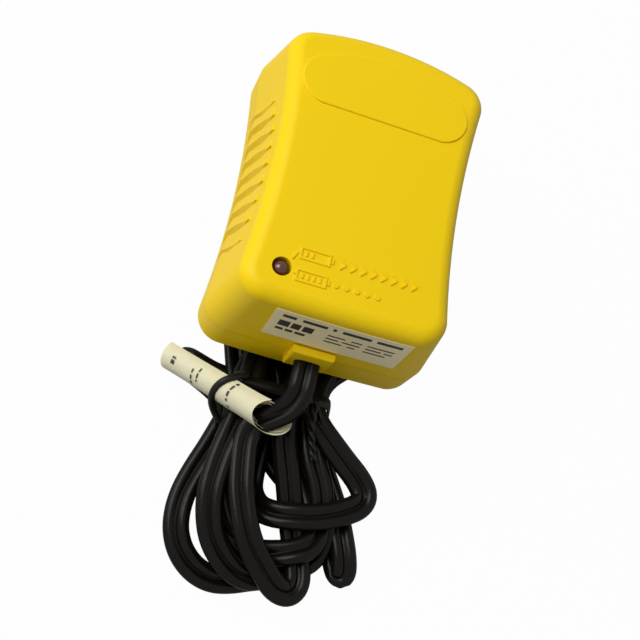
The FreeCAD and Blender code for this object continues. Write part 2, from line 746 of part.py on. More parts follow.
def coil_bobbin():
    body = around_leg(TUBE_HALF_X, TUBE_HALF_Z, COIL_FOOT_Y, COIL_TOP_Y)
    half = BOBBIN_FLANGE / 2
    for y in (COIL_FOOT_Y + half, COIL_MID_Y, COIL_TOP_Y - half):
        body = body.fuse(around_leg(FLANGE_HALF_X, FLANGE_HALF_Z, y - half, y + half))
    rails = ((COIL_FOOT_Y - RAIL_OUT, COIL_FOOT_Y + half), (COIL_TOP_Y - half, COIL_TOP_Y + RAIL_OUT))
    for y0, y1 in rails:
        body = body.fuse(block(-RAIL_W / 2, RAIL_W / 2, y0, y1, RAIL_Z, RAIL_Z + RAIL_H))
    leg = around_leg(LEG_W / 2 + BOBBIN_GAP, CORE_STACK / 2 + BOBBIN_GAP, COIL_FOOT_Y - 1, COIL_TOP_Y + 1)
    holes = [rod(PIN_R, RAIL_Z + RAIL_H - PIN_SINK, RAIL_Z + RAIL_H + 1, x, y) for x, y in pin_places()]
    return body.cut(Part.makeCompound([leg] + holes)).removeSplitter()


def pin_places():
    return [(x, y) for y in (FOOT_PIN_Y, TOP_PIN_Y) for x in (-PIN_X, PIN_X)]


def wound_form(grow, y0, y1):
    """The outside of a winding, grown by a layer, with the rounded corners that wire takes."""
    out = grow - WINDING_BACK
    form = around_leg(FLANGE_HALF_X + out, FLANGE_HALF_Z + out, y0, y1)
    lengthways = [e for e in form.Edges if abs(e.Vertexes[0].Y - e.Vertexes[-1].Y) > 1]
    return form.makeFillet(WINDING_CORNER_R + grow, lengthways)


def winding(y0, y1):
    return wound_form(0.0, y0, y1).cut(around_leg(TUBE_HALF_X, TUBE_HALF_Z, y0 - 1, y1 + 1))


def tape(y0, y1):
    return wound_form(TAPE_T, y0, y1).cut(wound_form(0.0, y0 - 1, y1 + 1))


# Board parts

def axial_part(body_r, body_l, x, y):
    """A body lying along Y over the board on two bent wires."""
    z = BOARD_TOP_Z + body_r + AXIAL_STAND
    half = body_l / 2 + AXIAL_SPAN / 2
    body = y_rod(body_r, y - body_l / 2, y + body_l / 2, x, z)
    wires = [y_rod(LEAD_WIRE_R, y - half, y + half, x, z)]
    for end in (-half, half):
        wires.append(rod(LEAD_WIRE_R, BOARD_TOP_Z, z, x, y + end))
        wires.append(Part.makeSphere(LEAD_WIRE_R, Vector(x, y + end, z)))
    return body.fuse(wires)


def control_chip():
    x, y = CHIP_AT
    z = BOARD_TOP_Z + CHIP_STAND
    chip = middle_block(CHIP, x, y, z)
    notch = rod(CHIP[1] / 8, z + CHIP[2] * 0.9, z + CHIP[2] + 1, x - CHIP[0] / 2, y)
    legs = []
    leg = LEAD_WIRE_R
    for index in range(4):
        at = x + (index - 1.5) * CHIP_LEG_PITCH
        for side in (-1, 1):
            edge = y + side * CHIP[1] / 2
            low, high = sorted((edge - side * leg, edge + side * 2 * leg))
            legs.append(block(at - leg, at + leg, low, high, z + CHIP[2] / 3, z + CHIP[2] / 3 + leg))
            low, high = sorted((edge + side * leg, edge + side * 2 * leg))
            legs.append(block(at - leg, at + leg, low, high, BOARD_TOP_Z, z + CHIP[2] / 3 + leg))
    return chip.cut(notch).fuse(legs)


def led_spacer():
    """A round nylon spacer between the board and the lamp, with a hole for each leg."""
    spacer = rod(LAMP_FLANGE_D / 2, BOARD_TOP_Z, LAMP_TOP_Z - LAMP_H, LAMP_X, LAMP_Y)
    for x in LAMP_LEG_X:
        spacer = spacer.cut(rod(LEAD_WIRE_R + LAMP_GAP, BOARD_Z, FRONT_Z, x, LAMP_Y))
    return spacer


def status_led():
    z = LAMP_TOP_Z - LAMP_H
    r = LAMP_D / 2
    body = rod(LAMP_FLANGE_D / 2, z, z + LAMP_FLANGE_H, LAMP_X, LAMP_Y)
    body = body.fuse(rod(r, z, LAMP_TOP_Z - r, LAMP_X, LAMP_Y))
    dome = Part.makeSphere(r, Vector(LAMP_X, LAMP_Y, LAMP_TOP_Z - r))
    return body.fuse(dome).removeSplitter()


def transistor():
    x, y = TRANSISTOR_AT
    w, t, h = TRANSISTOR
    top = BOARD_Z - TRANSISTOR_LEG
    body = block(x - w / 2, x + w / 2, y - t / 2, y + t / 2, top - h, top)
    legs = [rod(LEAD_WIRE_R, top - 1, BOARD_Z, x + offset * CHIP_LEG_PITCH, y) for offset in (-1, 0, 1)]
    return body.fuse(legs)


def heat_sink():
    x, y = TRANSISTOR_AT
    face = y + TRANSISTOR[1] / 2
    low = BOARD_Z - SINK_H
    plate = block(x - SINK_W / 2, x + SINK_W / 2, face, face + SINK_T, low, BOARD_Z)
    fins = []
    for index in range(SINK_FINS):
        at = x - SINK_W / 2 + index * (SINK_W - SINK_T / 2) / (SINK_FINS - 1)
        fins.append(block(at, at + SINK_T / 2, face, face + SINK_FIN_OUT, low, BOARD_Z - SINK_T))
    return plate.fuse(fins)


# Cords and wires

def bend_radius(before, corner, after):
    a, b = before - corner, after - corner
    turn = math.pi - a.getAngle(b)
    return ARC_SHARE * min(a.Length, b.Length) / math.tan(turn / 2), turn


def route_path(points, name):
    """Straight runs joined by arcs, each arc as large as its two runs allow."""
    points = [Vector(*p) for p in points]
    edges = []
    start = points[0]
    tightest = None
    for before, corner, after in zip(points, points[1:], points[2:]):
        radius, turn = bend_radius(before, corner, after)
        back = radius * math.tan(turn / 2)
        to_a, to_b = (before - corner).normalize(), (after - corner).normalize()
        enter, leave = corner + to_a * back, corner + to_b * back
        inward = (to_a + to_b).normalize()
        crown = corner + inward * (radius / math.cos(turn / 2) - radius)
        edges.append(Part.LineSegment(start, enter).toShape())
        edges.append(Part.Arc(enter, crown, leave).toShape())
        start = leave
        tightest = radius if tightest is None else min(tightest, radius)
    edges.append(Part.LineSegment(start, points[-1]).toShape())
    path = Part.Wire(edges)
    print("route %-14s length %.1f tightest radius %.1f" % (name, path.Length, tightest or 0))
    return path


def tube(path, radius, name):
    start = path.Edges[0].valueAt(path.Edges[0].FirstParameter)
    heading = path.Edges[0].tangentAt(path.Edges[0].FirstParameter)
    ring = Part.Wire(Part.Circle(start, heading, radius).toShape())
    solid = path.makePipeShell([ring], True, False)
    expected = math.pi * radius ** 2 * path.Length
    print("tube  %-14s volume %.1f of %.1f" % (name, solid.Volume, expected))
    return solid


def biarc(p, tp, q, tq):
    """Two arcs that leave p along tp and reach q along tq."""
    v = q - p
    t = tp + tq
    square = 2 * (1 - tp.dot(tq))
    if square > 1e-9:
        d = (-v.dot(t) + math.sqrt(v.dot(t) ** 2 + square * v.dot(v))) / square
    else:
        d = v.dot(v) / (4 * v.dot(tq))
    joint = (p + q + (tp - tq) * d) * 0.5
    return arc_between(p, p + tp * d, joint) + arc_between(joint, q - tq * d, q)


def arc_between(a, corner, b):
    weight = (b - a).Length / 2 / (corner - a).Length
    if weight > 1 - 1e-7:
        return [Part.LineSegment(a, b).toShape()]
    crown = (a + corner * (2 * weight) + b) * (1 / (2 * (1 + weight)))
    return [Part.Arc(a, crown, b).toShape()]


def hank_station(k):
    """Place and heading of one station of the winding; k = 0 is half way down the change of layer.

    A turn has twelve places: 0 and 6 at the waist, 2 to 4 round the low loop, 8 to 10 round the
    high one, and the odd places 1, 5, 7 and 11 half way along the flanks.
    """
    out = abs(k) / STATIONS
    low = LOW_R + LOW_STEP * out
    high = HIGH_R + HIGH_STEP * out
    waist = WAIST_HALF + WAIST_STEP * out
    if k <= -2:
        z = LAYER_HIGH_Z
    elif k >= 2:
        z = LAYER_LOW_Z
    else:
        drop = (1 - math.cos(math.pi * (k + 2) / 4)) / 2
        z = LAYER_HIGH_Z + (LAYER_LOW_Z - LAYER_HIGH_Z) * drop
    place = k % STATIONS
    side = -1 if place in (0, 1, 2, 10, 11) else 1
    low_x, high_x, waist_x = LOOP_X + side * low, LOOP_X + side * high, WAIST_X + side * waist
    heading = side
    if place in (2, 4):
        return Vector(low_x, LOW_Y, z), Vector(0, heading, 0)
    if place in (8, 10):
        return Vector(high_x, HIGH_Y, z), Vector(0, heading, 0)
    if place == 3:
        return Vector(LOOP_X, LOW_Y - low, z), Vector(1, 0, 0)
    if place == 9:
        return Vector(LOOP_X, HIGH_Y + high, z), Vector(-1, 0, 0)
    if place in (0, 6):
        drop = 0.0
        if abs(k) < 2:
            drop = -(LAYER_HIGH_Z - LAYER_LOW_Z) * math.pi / 2 / (HIGH_Y - LOW_Y)
        return Vector(waist_x, WAIST_Y, z), Vector(0, heading, drop).normalize()
    end_x, end_y = (low_x, LOW_Y) if place in (1, 5) else (high_x, HIGH_Y)
    middle = Vector((waist_x + end_x) / 2, (WAIST_Y + end_y) / 2, z)
    lean = math.atan((end_x - waist_x) / (end_y - WAIST_Y)) * FLANK_LEAN
    along = Vector(math.sin(lean), math.cos(lean), 0)
    if along.y * heading < 0:
        along = along * -1
    if abs(k) < 2:
        drop = -(LAYER_HIGH_Z - LAYER_LOW_Z) * math.pi / 2 / (HIGH_Y - LOW_Y) * math.sin(math.pi / 4)
        along = (along + Vector(0, 0, drop)).normalize()
    return middle, along


def hank_path():
    stations = [hank_station(k) for k in range(HANK_START, HANK_END + 1)]
    edges = []
    for (p, tp), (q, tq) in zip(stations, stations[1:]):
        edges += biarc(p, tp, q, tq)
    return stations, edges


def least_gap(edges):
    """Least gap of the winding to itself, on points about every 2 mm."""
    points, reach, travelled = [], [], 0.0
    for edge in edges:
        count = max(2, int(edge.Length / 2) + 1)
        for index in range(count):
            part = index / count
            points.append(edge.valueAt(edge.getParameterByLength(part * edge.Length)))
            reach.append(travelled + part * edge.Length)
        travelled += edge.Length
    flat = (CORD_W - CORD_T) / 2
    least = None
    for i in range(len(points)):
        a = points[i]
        for j in range(i + 1, len(points)):
            if reach[j] - reach[i] < 3 * CORD_W:
                continue
            b = points[j]
            across = math.hypot(a.x - b.x, a.y - b.y)
            if across > 3 * CORD_T:
                continue
            up = max(0.0, abs(a.z - b.z) - 2 * flat)
            gap = math.hypot(across, up) - CORD_T
            if least is None or gap < least[0]:
                least = (gap, a, b)
    return least, travelled


# Label, collar and the wires inside

def rating_label():
    """A thin sheet on the drafted foot face, with a little of the case's bow in it."""
    skin = shell_form(-LABEL_T, CORNER_R + LABEL_T, FRONT_EDGE_R + LABEL_T)
    skin = skin.cut(shell_form(0.0, CORNER_R, FRONT_EDGE_R))
    left = LABEL_X - LABEL_W / 2
    return skin.common(block(left, left + LABEL_W, -FAR, 0, FRONT_Z - LABEL_TO, FRONT_Z - LABEL_FROM))


def cord_grommet():
    """Collar outside the foot face, neck through both shells and a stop plate inside."""
    w, h = COLLAR_W / 2, COLLAR_H / 2
    collar = block(COLLAR_X - w, COLLAR_X + w, COLLAR_FACE_Y, FOOT_FACE_Y, COLLAR_Z - h, COLLAR_Z + h)
    rim = [e for e in collar.Edges if max(v.Y for v in e.Vertexes) < COLLAR_FACE_Y + COLLAR_OUT / 2]
    collar = collar.makeFillet(COLLAR_EDGE_R, rim)
    w, h = NECK_W / 2, NECK_H / 2
    root_y = FOOT_FACE_Y - COLLAR_OUT / 4
    neck = block(COLLAR_X - w, COLLAR_X + w, root_y, STOP_Y, COLLAR_Z - h, COLLAR_Z + h)
    w, h = STOP_W / 2, STOP_H / 2
    stop = block(COLLAR_X - w, COLLAR_X + w, STOP_Y, STOP_Y + STOP_T, COLLAR_Z - h, COLLAR_Z + h)
    bore = Part.Face(exit_section(-FAR / 2)).extrude(Vector(0, FAR, 0))
    return collar.fuse([neck, stop]).cut(bore)


def exit_section(y):
    return flat_oval(CORD_W, CORD_T, Vector(COLLAR_X, y, CORD_Z), Vector(1, 0, 0), Vector(0, 0, 1))


def cord_inner():
    return Part.Face(exit_section(COLLAR_FACE_Y)).extrude(Vector(0, CORD_END_Y - COLLAR_FACE_Y, 0))


def cord_conductors():
    wires = []
    for side in (-1, 1):
        x = COLLAR_X + side * (CORD_W - CORD_T) / 2
        points = [(x, CORD_END_Y, CORD_Z), (x, CONDUCTOR_UP_Y, CORD_Z), (x, CONDUCTOR_UP_Y, BOARD_Z)]
        wires.append(tube(route_path(points, "conductor"), CONDUCTOR_R, "conductor"))
    return wires


def circuit_board():
    board = block(-BOARD_W / 2, BOARD_W / 2, BOARD_FOOT_Y, BOARD_FOOT_Y + BOARD_L, BOARD_Z, BOARD_TOP_Z)
    holes = [rod(SCREW_R + SCREW_GAP, BOARD_Z - 1, BOARD_TOP_Z + 1, x, y) for x, y in BOARD_SCREWS]
    return board.cut(Part.makeCompound(holes))


def primary_leads():
    wires = []
    low = FLOOR_Z + CARRIER_FLANGE + BLADE_TAIL - WIRE_R - AXIAL_STAND
    for side in (-1, 1):
        points = [
            (side * (BLADE_PITCH + BLADE_T) / 2, BLADE_Y, low),
            (side * (BLADE_PITCH / 2 + 8 * WIRE_R), BLADE_Y, low),
            (side * PRIMARY_RUN_X, PRIMARY_RUN_Y, low + 2 * WIRE_R),
            (side * PRIMARY_RUN_X, PRIMARY_RUN_Y, PIN_WIRE_Z - 4 * WIRE_R),
            (side * (PRIMARY_RUN_X - 6 * WIRE_R), (PRIMARY_RUN_Y + TOP_PIN_Y) / 2, PIN_WIRE_Z),
            (side * (PIN_X + PIN_R), TOP_PIN_Y, PIN_WIRE_Z),
        ]
        wires.append(tube(route_path(points, "primary lead"), WIRE_R, "primary lead"))
    return wires


def secondary_leads():
    wires = []
    down = BOARD_FOOT_Y + BOARD_L - 3 * WIRE_R
    for side in (-1, 1):
        x = side * PIN_X
        points = [(x, FOOT_PIN_Y - PIN_R, PIN_WIRE_Z), (x, down, PIN_WIRE_Z), (x, down, BOARD_TOP_Z)]
        wires.append(tube(route_path(points, "secondary lead"), WIRE_R, "secondary lead"))
    return wires


def thermal_fuse():
    z = CORE_MID_Z + FLANGE_HALF_Z - WINDING_BACK + TAPE_T + FUSE_R
    y = (COIL_MID_Y + COIL_TOP_Y) / 2
    body = Part.makeCylinder(FUSE_R, FUSE_L, Vector(-FUSE_L / 2, y, z), Vector(1, 0, 0))
    lead = Part.makeCylinder(LEAD_WIRE_R, 2 * FUSE_L, Vector(-FUSE_L, y, z), Vector(1, 0, 0))
    return body.fuse(lead)


def hank():
    stations, edges = hank_path()
    path = Part.Wire(edges)
    start, heading = stations[0]
    upright = Vector(0, 0, 1)
    section = flat_oval(CORD_W, CORD_T, start, upright, heading.cross(upright))
    solid = path.makePipeShell([section], True, False)
    gap, length = least_gap(edges)
    area = Part.Face(section).Area
    print("hank length %.1f  volume %.1f of %.1f" % (length, solid.Volume, area * length))
    print("hank least gap to itself %.2f at %s and %s" % gap)
    return solid


def lead_points():
    end, heading = hank_station(HANK_START)
    exits = [Vector(COLLAR_X, y, CORD_Z) for y in (COLLAR_FACE_Y, COLLAR_FACE_Y - LEAD_EXIT_RUN)]
    return exits + list(LEAD_ROUTE) + [end - heading * LEAD_END_RUN, end]


def tail_points():
    start, _ = hank_station(HANK_END)
    x, y, z = start.x + TAIL_SHIFT, start.y, start.z
    return [
        (x, y, z),
        (x, y + TAIL_RUN, z),
        (x + TAIL_OUT, y + TAIL_BEND_AT, PLUG_R),
        (x + TAIL_OUT, y + TAIL_L, PLUG_R),
    ]


def hank_tie():
    """A flat strip round the waist with its two ends twisted together on top."""

    def half_width(layer, place):
        ks = [k for k in range(HANK_START, HANK_END + 1) if (k < 0) == layer and k % STATIONS == place]
        reach = max(abs(k) for k in ks) / STATIONS
        return WAIST_HALF + WAIST_STEP * reach + CORD_T / 2 + TIE_GAP

    low_top = LAYER_LOW_Z + CORD_W / 2 + TIE_GAP
    top = LAYER_HIGH_Z + CORD_W / 2 + TIE_GAP
    sides = [half_width(False, 0), half_width(True, 0), half_width(True, 6), half_width(False, 6)]

    def ring(grow, y0, y1):
        corners = [
            (WAIST_X - sides[0] - grow, TIE_T - grow), (WAIST_X - sides[0] - grow, low_top + grow / 2),
            (WAIST_X - sides[1] - grow / 2, top + grow), (WAIST_X + sides[2] + grow / 2, top + grow),
            (WAIST_X + sides[3] + grow, low_top + grow / 2), (WAIST_X + sides[3] + grow, TIE_T - grow),
        ]
        wire = Part.makePolygon([Vector(x, y0, z) for x, z in corners + corners[:1]])
        return Part.Face(wire).extrude(Vector(0, y1 - y0, 0))

    y0, y1 = WAIST_Y - TIE_W / 2, WAIST_Y + TIE_W / 2
    strip = ring(TIE_T, y0, y1).cut(ring(0.0, y0 - 1, y1 + 1))
    twist = y_rod(TIE_TWIST_R, y0 - TIE_TWIST_L, y0 + TIE_W / 2, TIE_TWIST_X, top + TIE_TWIST_R)
    return strip.fuse(twist)


def output_plug():
    x, y, z = tail_points()[-1]
    y_body = y + RELIEF_L
    y_front = y_body + PLUG_L
    relief = Part.makeCone(PLUG_TAIL_R, RELIEF_END_R, RELIEF_L, Vector(x, y, z), Vector(0, 1, 0))
    body = y_rod(PLUG_R, y_body, y_front, x, z)
    body = body.makeFillet(PLUG_R / 8, round_edges(body))
    y_barrel = y_front + CONTACT_NECK_L
    y_end = y_barrel + CONTACT_L
    seat = y_rod(CONTACT_NECK_R, y_front - CONTACT_SEAT, y_front + 1, x, z)
    neck = y_rod(CONTACT_NECK_R, y_front - CONTACT_SEAT, y_barrel, x, z)
    contact = neck.fuse(y_rod(CONTACT_R, y_barrel, y_end, x, z))
    contact = contact.cut(y_rod(CONTACT_BORE_R, y_barrel, y_end + 1, x, z))
    print("plug barrel x %.4f z %.4f from y %.4f to %.4f" % (x, z, y_barrel, y_end))
    return relief, body.cut(seat), contact


def rolled_sheet(length):
    """A sheet rolled on itself, standing on its end at the origin."""
    pitch = SHEET_T + SHEET_GAP
    halves = int(2 * (ROLL_R - ROLL_BORE_R) / pitch)

    def spiral(shrink):
        radii = [ROLL_R - shrink - pitch / 2 * index for index in range(halves + 1)]
        arcs = []
        for index in range(halves):
            side = 1 if index % 2 == 0 else -1
            a, b = Vector(side * radii[index], 0, 0), Vector(-side * radii[index + 1], 0, 0)
            middle = (a + b) * 0.5 + Vector(0, side * (radii[index] + radii[index + 1]) / 2, 0)
            arcs.append(Part.Arc(a, middle, b).toShape())
        return arcs, Vector(radii[0], 0, 0), b

    outer, outer_start, outer_end = spiral(0.0)
    inner, inner_start, inner_end = spiral(SHEET_T)
    closing = [
        Part.LineSegment(outer_end, inner_end).toShape(),
        Part.LineSegment(inner_start, outer_start).toShape(),
    ]
    wire = Part.Wire(Part.__sortEdges__(outer + inner + closing))
    return Part.Face(wire).extrude(Vector(0, 0, length))


def laid(shape, at, along):
    """Turns a form that stands at the origin so that it lies along a direction from a place."""
    turn = FreeCAD.Rotation(Vector(0, 0, 1), along)
    shape.Placement = FreeCAD.Placement(at, turn)
    return shape


def leaflet_roll(lead_path):
    mouth, end = Vector(*ROLL_MOUTH), Vector(*ROLL_END)
    along = end - mouth
    roll = laid(rolled_sheet(along.Length), mouth, along)
    notch = tube(lead_path, CORD_TUBE_D / 2 + ROLL_CLEAR, "roll notch")
    roll = roll.cut(notch)
    return max(roll.Solids, key=lambda solid: solid.Volume)


def leaflet_band():
    mouth, end = Vector(*ROLL_MOUTH), Vector(*ROLL_END)
    along = (end - mouth).normalize()
    ring = Part.makeTorus(ROLL_R + BAND_GAP + BAND_R, BAND_R)
    return laid(ring, mouth + along * BAND_AT, along)


if __name__ == "__main__":
    save("front_shell", front_shell())
    save("rear_cover", rear_cover())
    save("cover_screws", [
        pan_screw(x, y, SCREW_SEAT_Z, SCREW_L, SCREW_HEAD_R, SCREW_HEAD_H) for x, y in BOSSES
    ])
    save("rating_label", rating_label())
    save("plug_blades", plug_blades())
    save("blade_carrier", blade_carrier())
    save("cord_grommet", cord_grommet())
    save("core_laminations", core_laminations())
    save("coil_bobbin", coil_bobbin())
    half = BOBBIN_FLANGE / 2
    rooms = {
        "primary": (COIL_MID_Y + half, COIL_TOP_Y - BOBBIN_FLANGE),
        "secondary": (COIL_FOOT_Y + BOBBIN_FLANGE, COIL_MID_Y - half),
    }
    for name, (y0, y1) in rooms.items():
        save(name + "_winding", winding(y0, y1))
    save("winding_tape", [tape(y0, y1) for y0, y1 in rooms.values()])
    save("bobbin_pins", [
        rod(PIN_R, RAIL_Z + RAIL_H - PIN_SINK, PIN_TOP_Z, x, y) for x, y in pin_places()
    ])
    save("thermal_fuse", thermal_fuse())
    save("circuit_board", circuit_board())
    save("board_screws", [
        pan_screw(x, y, BOARD_Z, BOARD_SCREW_L + BOARD_T, BOARD_SCREW_HEAD_R, BOARD_SCREW_HEAD_H)
        for x, y in BOARD_SCREWS
    ])
    save("status_led", status_led())
    save("led_legs", [rod(LEAD_WIRE_R, BOARD_TOP_Z, LAMP_TOP_Z - LAMP_H, x, LAMP_Y) for x in LAMP_LEG_X])
    save("led_spacer", led_spacer())
    save("control_chip", control_chip())
    save("rectifier_diodes", [axial_part(DIODE_R, DIODE_L, x, DIODE_Y) for x in DIODE_X])
    save("resistors", [axial_part(RESISTOR_R, RESISTOR_L, x, RESISTOR_Y) for x in RESISTOR_X])
    save("relay", middle_block(RELAY, *RELAY_AT, BOARD_Z - RELAY[2]))
    save("filter_capacitor", rod(CAP_R, BOARD_Z - CAP_H, BOARD_Z, *CAP_AT))
    save("power_transistor", transistor())
    save("heat_sink", heat_sink())
    save("primary_leads", primary_leads())
    save("secondary_leads", secondary_leads())
    save("cord_inner", cord_inner())
    save("cord_conductors", cord_conductors())
    save("cord_hank", hank())
    lead_path = route_path(lead_points(), "cord lead")
    save("cord_lead", tube(lead_path, CORD_TUBE_D / 2, "cord lead"))
    save("cord_tail", tube(route_path(tail_points(), "cord tail"), CORD_TUBE_D / 2, "cord tail"))
    relief, body, contact = output_plug()
    save("output_plug_relief", relief)
    save("output_plug_body", body)
    save("output_plug_contact", contact)
    save("hank_tie", hank_tie())
    save("leaflet_roll", leaflet_roll(lead_path))
    save("leaflet_band", leaflet_band())
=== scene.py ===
import math

import bmesh
import bpy
from mathutils import Matrix, Vector
from mathutils.bvhtree import BVHTree


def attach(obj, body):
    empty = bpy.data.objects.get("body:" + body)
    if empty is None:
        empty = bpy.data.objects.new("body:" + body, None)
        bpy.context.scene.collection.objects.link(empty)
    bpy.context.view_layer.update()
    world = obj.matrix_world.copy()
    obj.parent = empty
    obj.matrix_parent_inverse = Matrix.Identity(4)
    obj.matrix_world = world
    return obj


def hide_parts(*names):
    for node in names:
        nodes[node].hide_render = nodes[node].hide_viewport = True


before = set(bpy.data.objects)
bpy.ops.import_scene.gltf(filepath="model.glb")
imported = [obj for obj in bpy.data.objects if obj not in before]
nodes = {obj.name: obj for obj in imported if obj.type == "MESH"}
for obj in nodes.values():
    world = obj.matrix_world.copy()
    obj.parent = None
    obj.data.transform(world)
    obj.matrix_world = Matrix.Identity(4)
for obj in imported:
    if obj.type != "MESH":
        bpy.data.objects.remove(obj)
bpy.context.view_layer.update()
MM = 0.001


# Camera: it stands over the foot end of the case and looks down the front face, as a catalogue
# picture is taken, with a plain lens and no shift.
CAMERA_PLACE = Vector((-66.24, -153.09, 325.84)) * MM
CAMERA_SENSOR, CAMERA_LENS = 36.0, 64.0745
camera_data = bpy.data.cameras.new("catalogue_camera")
camera_data.sensor_width = CAMERA_SENSOR
camera_data.lens = CAMERA_LENS
camera_data.clip_start = 0.01
camera = bpy.data.objects.new("catalogue_camera", camera_data)
bpy.context.scene.collection.objects.link(camera)
camera_right = Vector((0.9393, 0.1866, 0.2879))
camera_up = Vector((-0.2749, 0.9113, 0.3064))
camera_back = camera_right.cross(camera_up).normalized()
camera_up = camera_back.cross(camera_right).normalized()
camera_turn = Matrix((camera_right.normalized(), camera_up, camera_back)).transposed().to_4x4()
camera.matrix_world = Matrix.Translation(CAMERA_PLACE) @ camera_turn
bpy.context.scene.camera = camera

# Rear cover: the back half of the yellow case, one injection moulding with a lip that the front
# half closes over. It has a fine spark-eroded grain, and its colour drifts slightly.
def finish_material(name, colour, roughness, metallic=0.0, gloss=0.5):
    """A plain finish of one colour, with its sheen on the shader's own sockets."""
    material = bpy.data.materials.new(name)
    material.use_nodes = True
    shader = material.node_tree.nodes["Principled BSDF"]
    shader.inputs["Base Color"].default_value = (*colour, 1.0)
    shader.inputs["Roughness"].default_value = roughness
    shader.inputs["Metallic"].default_value = metallic
    shader.inputs["Specular IOR Level"].default_value = gloss
    return material


def add_grain(material, cell, height, tint=0.0, stretch=(1.0, 1.0, 1.0), patch=0.04):
    """Fine bumps of a cell size and height in metres, drawn out by stretch, and a share of tint by
    which the colour drifts over patches of a size in metres.
    """
    tree = material.node_tree
    shader = tree.nodes["Principled BSDF"]
    place = tree.nodes.new("ShaderNodeTexCoord")
    scale = tree.nodes.new("ShaderNodeMapping")
    scale.inputs["Scale"].default_value = stretch
    grain = tree.nodes.new("ShaderNodeTexNoise")
    grain.inputs["Scale"].default_value = 1.0 / cell
    grain.inputs["Detail"].default_value = 2.0
    bump = tree.nodes.new("ShaderNodeBump")
    bump.inputs["Strength"].default_value = 1.0
    bump.inputs["Distance"].default_value = height
    tree.links.new(place.outputs["Object"], scale.inputs["Vector"])
    tree.links.new(scale.outputs["Vector"], grain.inputs["Vector"])
    tree.links.new(grain.outputs["Fac"], bump.inputs["Height"])
    tree.links.new(bump.outputs["Normal"], shader.inputs["Normal"])
    if tint:
        drift = tree.nodes.new("ShaderNodeTexNoise")
        drift.inputs["Scale"].default_value = 1.0 / patch
        ramp = tree.nodes.new("ShaderNodeValToRGB")
        colour = shader.inputs["Base Color"].default_value[:3]
        ramp.color_ramp.elements[0].color = (*(c * (1 - tint) for c in colour), 1.0)
        ramp.color_ramp.elements[1].color = (*(min(1.0, c * (1 + tint)) for c in colour), 1.0)
        tree.links.new(scale.outputs["Vector"], drift.inputs["Vector"])
        tree.links.new(drift.outputs["Fac"], ramp.inputs["Fac"])
        tree.links.new(ramp.outputs["Color"], shader.inputs["Base Color"])


def dressed(node, material, sharp=32.0):
    """Stands for a CAD node, with its triangles joined, so that curved faces shade smoothly and
    edges over a sharp angle in degrees stay crisp.
    """
    mesh = nodes[node].data.copy()
    if "custom_normal" in mesh.attributes:
        mesh.attributes.remove(mesh.attributes["custom_normal"])
    shape = bmesh.new()
    shape.from_mesh(mesh)
    bmesh.ops.remove_doubles(shape, verts=shape.verts, dist=1e-6)
    for face in shape.faces:
        face.smooth = True
    shape.to_mesh(mesh)
    shape.free()
    mesh.set_sharp_from_angle(angle=math.radians(sharp))
    mesh.materials.clear()
    mesh.materials.append(material)
    piece = bpy.data.objects.new(node + "_finished", mesh)
    bpy.context.scene.collection.objects.link(piece)
    weight = piece.modifiers.new("face_weight", "WEIGHTED_NORMAL")
    weight.keep_sharp = True
    weight.weight = 80
    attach(piece, "root")
    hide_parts(node)


case_yellow = finish_material("case_yellow", (0.87, 0.6, 0.003), 0.42, 0.0, 0.16)
add_grain(case_yellow, 0.0004, 0.000012, 0.015)
dressed("rear_cover", case_yellow)

# Blade carrier: a black phenolic moulding that sits in the cover's window behind a flange, with a
# slot for each blade.
carrier_black = finish_material("carrier_black", (0.018, 0.017, 0.016), 0.5)
add_grain(carrier_black, 0.0005, 0.00001, 0.1)
dressed("blade_carrier", carrier_black)

# Plug blades: two stamped brass blades with a pale nickel flash, rounded at the tip and pressed
# into the carrier. Fine rolling lines run along them.
blade_brass = finish_material("blade_brass", (0.72, 0.62, 0.42), 0.28, 1.0)
add_grain(blade_brass, 0.0006, 0.000004, 0.05, (1.0, 1.0, 0.08))
dressed("plug_blades", blade_brass)

# Transformer core: a stack of varnished sheet-steel laminations, held between rests of the two
# halves of the case. The sheets show as fine lines round the stack.
core_steel = finish_material("core_steel", (0.09, 0.092, 0.1), 0.42, 0.7)
add_grain(core_steel, 0.0005, 0.00004, 0.2, (0.02, 0.02, 1.0))
dressed("core_laminations", core_steel)

# Coil bobbin: one nylon moulding with two winding rooms and a rail for the pins at each end. It is
# slid over the middle leg of the core.
nylon = finish_material("bobbin_nylon", (0.72, 0.69, 0.58), 0.45)
add_grain(nylon, 0.0006, 0.00001, 0.04)
dressed("coil_bobbin", nylon)

# Primary and secondary windings: enamelled copper wire laid in even layers round the two rooms.
# Shallow ridges show the turns.
copper = finish_material("enamelled_copper", (0.55, 0.2, 0.07), 0.3, 0.9)
add_grain(copper, 0.0004, 0.00005, 0.12, (0.05, 1.0, 0.05))
dressed("primary_winding", copper)
dressed("secondary_winding", copper)

# Winding tape: one lap of clear yellow polyester tape over each winding.
coil_tape = finish_material("coil_tape", (0.72, 0.5, 0.06), 0.22)
add_grain(coil_tape, 0.003, 0.00004, 0.06)
dressed("winding_tape", coil_tape)

# Bobbin pins and thermal fuse: tinned wire pins pressed into the rails, and a fuse in a tinned can
# soldered across two of them.
tinned = finish_material("tinned_wire", (0.66, 0.65, 0.6), 0.34, 1.0)
add_grain(tinned, 0.0005, 0.000008, 0.06)
dressed("bobbin_pins", tinned)
dressed("thermal_fuse", tinned)

# Primary leads: two black insulated wires from the blades to the foot pins of the bobbin.
wire_black = finish_material("wire_black", (0.02, 0.02, 0.021), 0.35)
add_grain(wire_black, 0.0008, 0.00001, 0.1)
dressed("primary_leads", wire_black)

# Circuit board: green solder-resist over glass laminate, screwed to bosses of the front shell.
board_green = finish_material("board_green", (0.012, 0.11, 0.03), 0.35)
add_grain(board_green, 0.0012, 0.00002, 0.18, (1.0, 1.0, 1.0), 0.004)
dressed("circuit_board", board_green)

